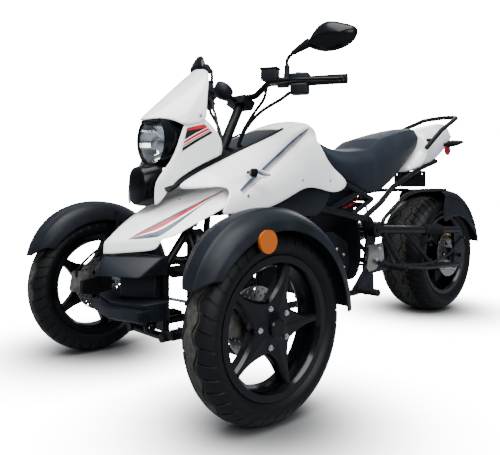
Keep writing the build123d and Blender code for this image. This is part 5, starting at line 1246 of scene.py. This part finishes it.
def damper(name, top, foot, body_r, spring_r, wire_r, turns, head, tail_len, eye_r, eye_axis, spring):
    """head and tail_len are the spring's distances from the top and the foot."""
    axis = foot - top
    length = axis.length * 1000
    down = axis.normalized()
    cup_r = spring_r + CUP_EDGE
    body_end, low_cup = length * DAMPER_BODY_SHARE, length - tail_len
    line = [(0, 0), (0, body_r * 0.7), (head - CUP_WALL, body_r), (head - CUP_WALL, cup_r), (head, cup_r),
            (head, body_r), (body_end, body_r), (body_end, DAMPER_ROD_R), (low_cup, DAMPER_ROD_R),
            (low_cup, cup_r), (low_cup + CUP_WALL, cup_r), (low_cup + CUP_WALL, 13), (length, 12),
            (length, 0)]
    body = spun(name + "_body", line, top, POWDER, axis=axis, steps=36)
    winding = coil(name + "_coil", foot - down * (tail_len / 1000), top + down * (head / 1000), spring_r,
                   wire_r, turns, spring)
    eye = [(-20, 8), (-20, eye_r), (-18, eye_r), (18, eye_r), (20, eye_r), (20, 8)]
    eyes = [spun(name + "_eye", eye, p, POWDER, axis=eye_axis, steps=24, closed=True) for p in (top, foot)]
    return joined(name, body, winding, *eyes)


# Painted spring steel of the rear damper: deep red, half gloss.
SPRING = coloured("painted_spring_steel", "#5f0d10", "#7a1316", 30, 3, 0.1, (0.28, 0.36),
                  Specular_IOR_Level=0.4)
left_damper = damper("front_damper", P(142, 20, 488), P(317.7, 20, 198.5), 20, 27, 5, 8, 40, 62, 15, BACK,
                     POWDER)
fit(pair("front_dampers", left_damper), "chassis", ["front_shocks"])
shock_low, shock_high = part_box("rear_shock")
shock_top = Vector((0, shock_low.y + 0.012, shock_high.z - 0.008))
shock_foot = Vector((0, shock_high.y - 0.012, shock_low.z + 0.008))
rear_damper = damper("rear_damper", shock_top, shock_foot, 20, 29, 5.5, 5, 34, 40, 13, SIDEWAYS, SPRING)
fit(rear_damper, "chassis", ["rear_shock"])


# Final drive: roller chain and toothed sprocket

CHAIN_X = -128
CHAIN_PITCH = 15.9
DRIVE_PITCH_R = 0.034
WHEEL_PITCH_R = 0.092
WRAP_STEPS = 24


def chain_line():
    """The loop of the chain's pins round both sprockets."""
    front, rear = P(CHAIN_X, 830, 340), Vector((CHAIN_X / 1000, rear_hub.y, rear_hub.z))
    run = rear - front
    base = math.atan2(run.z, run.y)
    lean = math.acos((DRIVE_PITCH_R - WHEEL_PITCH_R) / run.length)
    line = []
    for centre, radius, start, end in ((front, DRIVE_PITCH_R, base + lean, base - lean + 2 * math.pi),
                                       (rear, WHEEL_PITCH_R, base - lean, base + lean)):
        for k in range(WRAP_STEPS + 1):
            a = start + (end - start) * k / WRAP_STEPS
            line.append(centre + Vector((0, radius * math.cos(a), radius * math.sin(a))))
    return line + line[:1]


link_plates = [brick("link_plate", Vector((0, 0, z)), SIDEWAYS, UP, (14.5, 10, 1.6), ZINC, 0.7)
               for z in (-0.0048, 0.0048)]
roller = spun("roller", [(-4, 0), (-4, 4.6), (4, 4.6), (4, 0)], Vector(), ZINC, axis=UP, steps=12)
rivet_place = Vector((0.0079, 0, 0))
rivet = spun("rivet", [(-7, 0), (-7, 2.2), (7, 2.2), (7, 0)], rivet_place, ZINC, axis=UP, steps=8)
link = joined("link", *link_plates, roller, rivet)
fit(row_of("roller_chain", link, chain_line(), CHAIN_PITCH, SIDEWAYS, ZINC), "chassis", ["chain"])
SPROCKET_HOLES = [(5, 62, 13, 0), (5, 46, 4.5, 36)]
sprocket = drilled_disc("toothed_sprocket", rear_hub, CHAIN_X, 34.3, 85.6, SPROCKET_HOLES, ZINC, teeth=36)
fit(sprocket, "rear_wheel", ["rear_sprocket"])


# Engine: screws and rims of its covers, its intake, and the splash guard behind it

def cover_screws(x, y, z, radius, count):
    """Places round a cover whose middle is given, facing out to its side."""
    facing = (math.copysign(1, x), 0, 0)
    turn = [2 * math.pi * (k + 0.5) / count for k in range(count)]
    return [(P(x, y + radius * math.cos(a), z + radius * math.sin(a)), facing) for a in turn]


# Middle of each cover, radius and number of its screws, radius and depth of its raised rim
COVERS = [(112, 640, 330, 76, 8, 62, 4), (106, 770, 330, 51, 6, 38, 3), (-112, 660, 335, 84, 10, 70, -4)]
screw_places = [place for x, y, z, r, count, *_ in COVERS for place in cover_screws(x, y, z, r, count)]
case_screws = screws("case_screws", screw_places, 4.5, 6, ZINC)
rims = [spun("case_rim", [(0, r - 6), (depth, r - 5), (depth, r), (0, r + 1)], P(x, y, z), CASTING, steps=64)
        for x, y, z, _, _, r, depth in COVERS]
port = P(0, 559, 581)
intake = Vector((0, 0.837, 0.547))
intake_up = Vector((0, -intake.z, intake.y))
carb_mid = port + intake * 0.06
BOOT = [(0, 0), (0, 26), (8, 26), (12, 20), (26, 20), (30, 24), (36, 24), (36, 0)]
BOWL = [(0, 0), (0, 24), (26, 22), (30, 16), (30, 0)]
boot = spun("intake_boot", BOOT, port, RUBBER, axis=intake, steps=32)
carb = brick("carburettor", carb_mid, intake, intake_up, (48, 56, 62), CAST, 7)
bowl = spun("float_bowl", BOWL, carb_mid - Vector((0, -0.017, 0.026)), CAST, axis=-intake_up, steps=32)
throat = wire("air_hose", [port + intake * 0.08, P(0, 652, 640), P(10, 690, 630), P(60, 712, 600)], 20,
              RUBBER)
plug_lead = wire("plug_lead", [P(50, 520, 566), P(76, 514, 580), P(96, 540, 620), P(60, 520, 668)], 4, RUBBER)
fit(joined("engine_fittings", case_screws, *rims, boot, carb, bowl, throat, plug_lead), "chassis")
GUARD = [
    [(0, 862, 530), (60, 862, 530), (136, 862, 530)],
    [(0, 884, 455), (60, 884, 455), (137, 882, 455)],
    [(0, 900, 380), (60, 900, 380), (137, 896, 380)],
    [(0, 896, 300), (60, 896, 300), (134, 892, 300)],
    [(0, 880, 240), (60, 880, 240), (112, 878, 240)],
]
guard = panel("guard", [across(row) for row in GUARD], BLACK, P(0, 700, 400), 3)
tabs = [wire("guard_tab", [P(126, y, z), P(134, y + 4, z), P(143, y + 8, z)], 5, POWDER)
        for y, z in ((897, 380), (893, 310))]
fit(joined("splash_guard", guard, pair("guard_tabs", joined("tabs", *tabs))), "chassis")


# Electrics under the seat: a box on each side with its lid, a rubber band, and plugs on a loom

BOX_SIDE = [(668, 560), (690, 624), (850, 624), (862, 600), (858, 530), (690, 530)]
box = hull("electric_box", [P(x, y, z) for x in (58, 128) for y, z in BOX_SIDE], BLACK, 7)
box_lid = brick("box_lid", P(93, 770, 620), BACK, UP, (176, 76, 10), BLACK, 3)
band = brick("box_band", P(129, 772, 578), UP, SIDEWAYS, (98, 18, 3), RUBBER, 1)
loom = wire("loom", [P(124, 846, 606), P(130, 880, 602), P(132, 905, 590), P(128, 940, 566),
                     P(120, 960, 520)], 4, SHEATH)
red_lead = wire("red_lead", [P(129, 780, 548), P(133, 815, 556), P(132, 850, 566), P(126, 880, 586)], 3, RED)
orange_plug = brick("orange_plug", P(132, 894, 597), (0, 0.75, -0.5), SIDEWAYS, (24, 11, 10), AMBER, 2)
red_plug = brick("red_plug", P(131, 826, 561), (0, 0.9, 0.3), SIDEWAYS, (20, 10, 8), RED, 2)
electrics = joined("electrics", box, box_lid, band, loom, red_lead, orange_plug, red_plug)
fit(pair("under_seat_electrics", electrics), "chassis")


# Ribbed rubber sleeves on the swing arm's upper tubes

SLEEVE = [(0, 18.2), (0, 22)]
SLEEVE += [(2 + 12 * k + d, r) for k in range(12) for d, r in ((0, 25), (7, 25), (8, 20.5), (11, 20.5))]
SLEEVE += [(147, 22), (147, 18.2)]
sleeve_start, sleeve_end = P(170, 1330, 435.7), P(170, 1480, 428)
sleeve = spun("sleeve", SLEEVE, sleeve_start, RUBBER, axis=sleeve_end - sleeve_start, steps=32)
fit(pair("swing_arm_sleeves", sleeve), "chassis")


# Rear signals: a pointed housing on a stalk with a smoked lens behind, and a round red reflector below

# Share of the way to the tip, half height and half length
SIGNAL_RINGS = [(0, 8, 8), (0.1, 15, 17), (0.3, 19, 23), (0.6, 15, 20), (0.85, 9, 12), (1, 3, 4)]
# The lens as shares of the housing, and how far it is set back
LENS_LENGTH = 0.92
LENS_HEIGHT = 0.8
LENS_BACK = 4
signal_root, signal_tip = P(112, 1640, 853), P(206, 1652, 861)
turn = [2 * math.pi * k / 16 for k in range(16)]
signal_rows, lens_rows = [], []
for share, tall_half, long_half in SIGNAL_RINGS:
    centre = signal_root.lerp(signal_tip, share)
    signal_rows.append([centre + Vector((0, long_half * math.cos(a), tall_half * math.sin(a))) / 1000
                        for a in turn])
    long_lens, tall_lens = LENS_LENGTH * long_half, LENS_HEIGHT * tall_half
    lens_ring = [(LENS_BACK + long_lens * math.cos(a), tall_lens * math.sin(a)) for a in turn]
    lens_rows.append([centre + Vector((0, y, z)) / 1000 for y, z in lens_ring])
housing = lump("signal_housing", signal_rows, BLACK)
signal_lens = lump("signal_lens", lens_rows[1:5], SMOKED)
stalk = wire("signal_stalk", [P(84, 1640, 852), P(100, 1640, 852), P(122, 1641, 854)], 8, RUBBER)
tab = brick("reflector_tab", P(108, 1648, 836), (0, 0.3, -1), SIDEWAYS, (44, 22, 2.4), POWDER, 1)
REFLECTOR = [(0, 0), (0, 25), (2, 27), (6, 27), (8, 25), (9, 22), (9.6, 0)]
red_ring = spun("red_reflector", REFLECTOR, P(109.5, 1654, 824), RED, steps=40)
rear_signals = pair("rear_signal_lamps", joined("rear_signal", housing, signal_lens, stalk, tab, red_ring))
fit(rear_signals, "chassis", ["rear_signals"])


# Screws, printed stripes with painted groove shade on the tank cover, and small fittings on the bodywork

# Vinyl films of the stripes: satin, even colour, a faint edge in the light.
RED_FILM = coloured("red_vinyl_film", "#a81420", "#c21d2a", 70, 4, 0.05, (0.25, 0.33), Specular_IOR_Level=0.3)
# The grey film on the tank cover is partly a printed grey stripe and partly painted shade of the shoulder
# groove.
GREY_FILM_AND_GROOVE_SHADE = coloured("grey_film_and_painted_groove_shade", "#7d848b", "#959ba1", 70, 4, 0.05, (0.25, 0.33), Metallic=0.2)
# The slate film is a printed stripe on the hood; on the tank cover it is painted shade of the shoulder
# groove.
SLATE_FILM_AND_GROOVE_SHADE = coloured("slate_film_and_painted_groove_shade", "#3a4250", "#4d5664", 70, 4, 0.05, (0.25, 0.33),
                      Specular_IOR_Level=0.3)
DARK_FILM = coloured("black_vinyl_film", "#101216", "#191c21", 70, 4, 0.05, (0.25, 0.33),
                     Specular_IOR_Level=0.3)
hood_skin, cover_skin, cheek_skin, visor_skin = [skin_of(o) for o in (hood, covers, cheeks, visor)]
stripes = []


def stripe(skin, upper, lower, *bands):
    """Strips between two lines on the left side; a band is its four shares and its material."""
    lines = [[P(*p) for p in line] for line in (upper, lower)]
    for *shares, material in bands:
        stripes.append(film("stripe", skin, *lines, shares, material))


stripe(hood_skin, [(58, -172, 475), (73, -133, 500), (88, -95, 520), (103, -57, 540), (115, -13, 561),
                   (125, 35, 582), (134, 85, 604), (142, 133, 623)],
       [(58, -172, 475), (94, -145, 477), (125, -116, 482), (131, -98, 489), (143, -55, 517), (146, -4, 549),
        (144, 61, 585), (147, 132, 620)],
       (0, 0.2, 0, 0.2, SLATE_FILM_AND_GROOVE_SHADE), (0.2, 0.4, 0.2, 0.55, RED_FILM), (0.47, 1, 0.8, 1, SLATE_FILM_AND_GROOVE_SHADE))
# On the tank cover the slate and grey bands are painted shade of the shoulder groove, the grey one also a
# printed stripe; the red band is print.
stripe(cover_skin, [(128, 575, 865), (144, 506, 835), (154, 452, 807), (160, 403, 777), (166, 357, 748),
                    (170, 319, 724), (175, 281, 700), (180, 238, 675), (186, 200, 652), (196, 160, 625)],
       [(136, 549, 836), (148, 502, 808), (158, 459, 781), (164, 415, 756), (171, 377, 731), (177, 336, 706),
        (185, 299, 683), (192, 259, 660), (199, 220, 638), (205, 165, 609)],
       (0.05, 0.4, 0, 0.42, SLATE_FILM_AND_GROOVE_SHADE), (0.4, 0.8, 0.42, 0.7, GREY_FILM_AND_GROOVE_SHADE), (0.86, 0.93, 0.78, 0.92, RED_FILM))
stripe(cheek_skin, [(103, 16, 824), (108, 46, 833), (115, 78, 841)],
       [(101, -3, 747), (110, 50, 781), (120, 107, 813)], (0, 0.1, 0, 0.34, RED_FILM),
       (0.1, 0.5, 0.34, 0.36, DARK_FILM), (0.56, 0.67, 0.44, 0.62, RED_FILM),
       (0.72, 0.79, 0.68, 0.77, RED_FILM), (0.82, 1, 0.8, 1, DARK_FILM))
fit(pair("body_stripes", joined("left_stripes", *stripes)), "chassis")

panel_places = [(visor_skin, (100, 14, 850)), (visor_skin, (108, 62, 868)), (cover_skin, (178, 640, 660)),
                (cover_skin, (206, 187, 606)), (cheek_skin, (112, 90, 720)), (cheek_skin, (88, -60, 690)),
                (cover_skin, (196, 460, 660))]
panel_screws = screws("panel_screws", [landed(skin, P(*p), SIDEWAYS) for skin, p in panel_places], 4.2, 3,
                      ZINC)
fit(pair("panel_screw_set", panel_screws), "chassis")


# Bolts of the handlebar clamp, the hub caps and the rear disc

clamp_places = [(P(x, y, 961), UP) for x in (-36, 36) for y in (322, 350)]
fit(screws("clamp_bolts", clamp_places, 5, 7, CHROME), "steering_column")
for side, sign, hub in FRONT_WHEELS:
    ring = [(hub + Vector((sign * 33.5, 54 * math.cos(a), 54 * math.sin(a))) / 1000, (sign, 0, 0))
            for a in [math.radians(36 + 72 * k) for k in range(5)]]
    fit(screws(f"wheel_bolts_{side}", ring, 5.5, 7, ZINC, 6), f"wheel_{side}")
disc_ring = [(rear_hub + Vector((124, 46 * math.cos(a), 46 * math.sin(a))) / 1000, SIDEWAYS)
             for a in [math.radians(60 * k) for k in range(6)]]
fit(screws("disc_bolts", disc_ring, 5, 4, ZINC), "rear_wheel")


# Small marker lamp on a bracket at each side of the tank cover

marker_root = P(208, 194, 683)
marker_run = P(236, 272, 673) - marker_root
SOCKET = [(0, 0), (0, 9), (5, 14), (18, 16), (22, 15), (22, 0)]
MARKER_LENS = [(21, 0), (21, 14), (40, 14), (60, 10), (74, 4), (77, 0)]
socket = spun("marker_socket", SOCKET, marker_root, GLOSS_BLACK, axis=marker_run, steps=32)
marker = spun("marker_lens", MARKER_LENS, marker_root, CLEAR, axis=marker_run, steps=32)
bracket = wire("marker_bracket", [P(184, 206, 684), P(198, 203, 684), P(212, 206, 682)], 5, BLACK)
fit(pair("marker_lamps", joined("marker", bracket, socket, marker)), "chassis")


# Cables and hoses of the handlebar and of the front brakes

CABLES = {
    "brake_hose_bar": (5.5, [on_bar(0.02, 26, 4), P(152, 322, 966), P(140, 320, 938), P(116, 312, 912),
                             P(90, 300, 874), P(66, 286, 832), P(54, 276, 780)]),
    "switch_lead": (6, [on_bar(0.3, 6, -36), on_bar(0.2, 10, -58), P(160, 328, 918), P(118, 311, 892),
                        P(82, 302, 856), P(56, 292, 820), P(44, 284, 774)]),
}
for name, (radius, points) in CABLES.items():
    for side, sign, _ in FRONT_WHEELS:
        line = [Vector((sign * p.x, p.y, p.z)) for p in points]
        cable = wire(f"{name}_{side}", line, radius, SHEATH)
        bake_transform(cable)
HOSE = [P(84, 40, 520), P(110, 10, 506), P(200, -40, 470), P(310, -86, 408), P(392, -118, 336),
        P(418, -112, 300), P(428, -100, 296)]
for side, sign, _ in FRONT_WHEELS:
    line = [Vector((sign * p.x, p.y, p.z)) for p in HOSE]
    hose = wire(f"front_brake_hose_{side}", line, 4.5, SHEATH)
    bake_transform(hose)


# Stage, light and camera

BRIGHT = 22.0  # strength at which the backdrop and the paper come out white

# Seamless white paper: bright to the eye, with a glow that fades close to the tyres into a dark colour, a
# painted shadow round each tyre.
# It throws back less light on the object than it shows.
PAPER = coloured("white_paper_painted_tyre_shadows", "#f6f6f5", "#fafaf9", 900, 40, 0.02, (0.6, 0.7), Specular_IOR_Level=0.1)
paper = PAPER.node_tree
spot = add(paper, "ShaderNodeTexCoord").outputs["Object"]
contacts = [add(paper, "ShaderNodeVectorMath", {0: spot, 1: (x, y, 0)}, operation="DISTANCE").outputs["Value"]
            for x, y in ((front_hub.x, FRONT_Y), (-front_hub.x, FRONT_Y), (0, rear_hub.y))]
nearest = add(paper, "ShaderNodeMath", {0: contacts[0], 1: contacts[1]}, operation="MINIMUM").outputs["Value"]
nearest = add(paper, "ShaderNodeMath", {0: nearest, 1: contacts[2]}, operation="MINIMUM").outputs["Value"]
# Painted shade: the paper's glow fades out close to the tyres, whatever the light.
reach = add(paper, "ShaderNodeMapRange",
            {"Value": nearest, "From Min": 0.08, "From Max": 0.9, "To Min": 0.0, "To Max": 1.0},
            interpolation_type="SMOOTHSTEP")
glow = add(paper, "ShaderNodeEmission", {"Color": srgb("#ffffff"), "Strength": BRIGHT})
lit = add(paper, "ShaderNodeMixShader", {0: reach.outputs["Result"],
                                         1: paper.nodes["Principled BSDF"].outputs["BSDF"],
                                         2: glow.outputs["Emission"]})
# Painted shadow: closer still a near-black colour is mixed in round each tyre's contact.
near = add(paper, "ShaderNodeMapRange",
           {"Value": nearest, "From Min": 0.04, "From Max": 0.5, "To Min": 0.1, "To Max": 1.0},
           interpolation_type="SMOOTHSTEP")
painted_tyre_shadow = add(paper, "ShaderNodeBsdfDiffuse", {"Color": srgb("#0e0f12")})
with_painted_tyre_shadow = add(paper, "ShaderNodeMixShader", {0: near.outputs["Result"], 1: painted_tyre_shadow.outputs["BSDF"],
                                            2: lit.outputs["Shader"]})
bounce = add(paper, "ShaderNodeBsdfDiffuse", {"Color": srgb("#82868c")})
sheet = add(paper, "ShaderNodeMixShader", {0: add(paper, "ShaderNodeLightPath").outputs["Is Camera Ray"],
                                           1: bounce.outputs["BSDF"], 2: with_painted_tyre_shadow.outputs["Shader"]})
paper.links.new(sheet.outputs["Shader"], paper.nodes["Material Output"].inputs["Surface"])
FLOOR_HALF = 30
corners = [(FLOOR_HALF * x, FLOOR_HALF * y, 0) for x, y in ((-1, -1), (1, -1), (1, 1), (-1, 1))]
floor = made("floor", corners, [(0, 1, 2, 3)], PAPER)

# A white studio: the backdrop is bright, while the light that falls on the object comes mostly from above.
world = bpy.data.worlds.new("studio")
world.use_nodes = True
sky = world.node_tree
up = add(sky, "ShaderNodeSeparateXYZ",
         {"Vector": add(sky, "ShaderNodeTexCoord").outputs["Generated"]}).outputs["Z"]
fall = add(sky, "ShaderNodeMapRange", {"Value": up, "From Min": 0.0, "From Max": 0.9, "To Min": 0.12,
                                       "To Max": 0.8})
ambient = add(sky, "ShaderNodeBackground", {"Color": srgb("#e4efff"), "Strength": fall.outputs["Result"]})
backdrop = add(sky, "ShaderNodeBackground", {"Color": srgb("#ffffff"), "Strength": BRIGHT})
seen = add(sky, "ShaderNodeLightPath").outputs["Is Camera Ray"]
mixed = add(sky, "ShaderNodeMixShader", {0: seen, 1: ambient.outputs["Background"],
                                         2: backdrop.outputs["Background"]})
sky.links.new(mixed.outputs["Shader"], sky.nodes["World Output"].inputs["Surface"])
bpy.context.scene.world = world


def lamp(name, kind, place, aim, power, **settings):
    """A light at a place, turned to a point."""
    light = bpy.data.lights.new(name, kind)
    light.energy = power
    for key, value in settings.items():
        setattr(light, key, value)
    obj = shown(name, light)
    obj.location = place
    obj.rotation_euler = (Vector(aim) - Vector(place)).to_track_quat("-Z", "Y").to_euler()


# A broad soft light overhead, a soft box at the left front and a weaker one behind
lamp("overhead", "SUN", (0.9, -1.2, 4), (0, 0, 0), 7.5, angle=math.radians(50))
lamp("left_front", "AREA", (3.6, -2.4, 2.2), (0, -0.3, 0.5), 130, shape="RECTANGLE", size=2.4, size_y=1.6)
lamp("behind", "AREA", (-2.2, 3.4, 2.0), (0, 0.3, 0.6), 60, shape="RECTANGLE", size=2.4, size_y=1.4)

# The camera stands where the photo was taken from, by a fit to the wheels and the outline
view = bpy.data.cameras.new("photo_view")
view.lens = 41.4
view.sensor_width = 36
view.shift_y = -0.085
camera = shown("photo_view", view)
camera.location = (1.5983, FRONT_Y - 1.0832, 0.6349)
camera.rotation_euler = (math.pi / 2 + 0.0035, 0, 0.8278)
bpy.context.scene.camera = camera
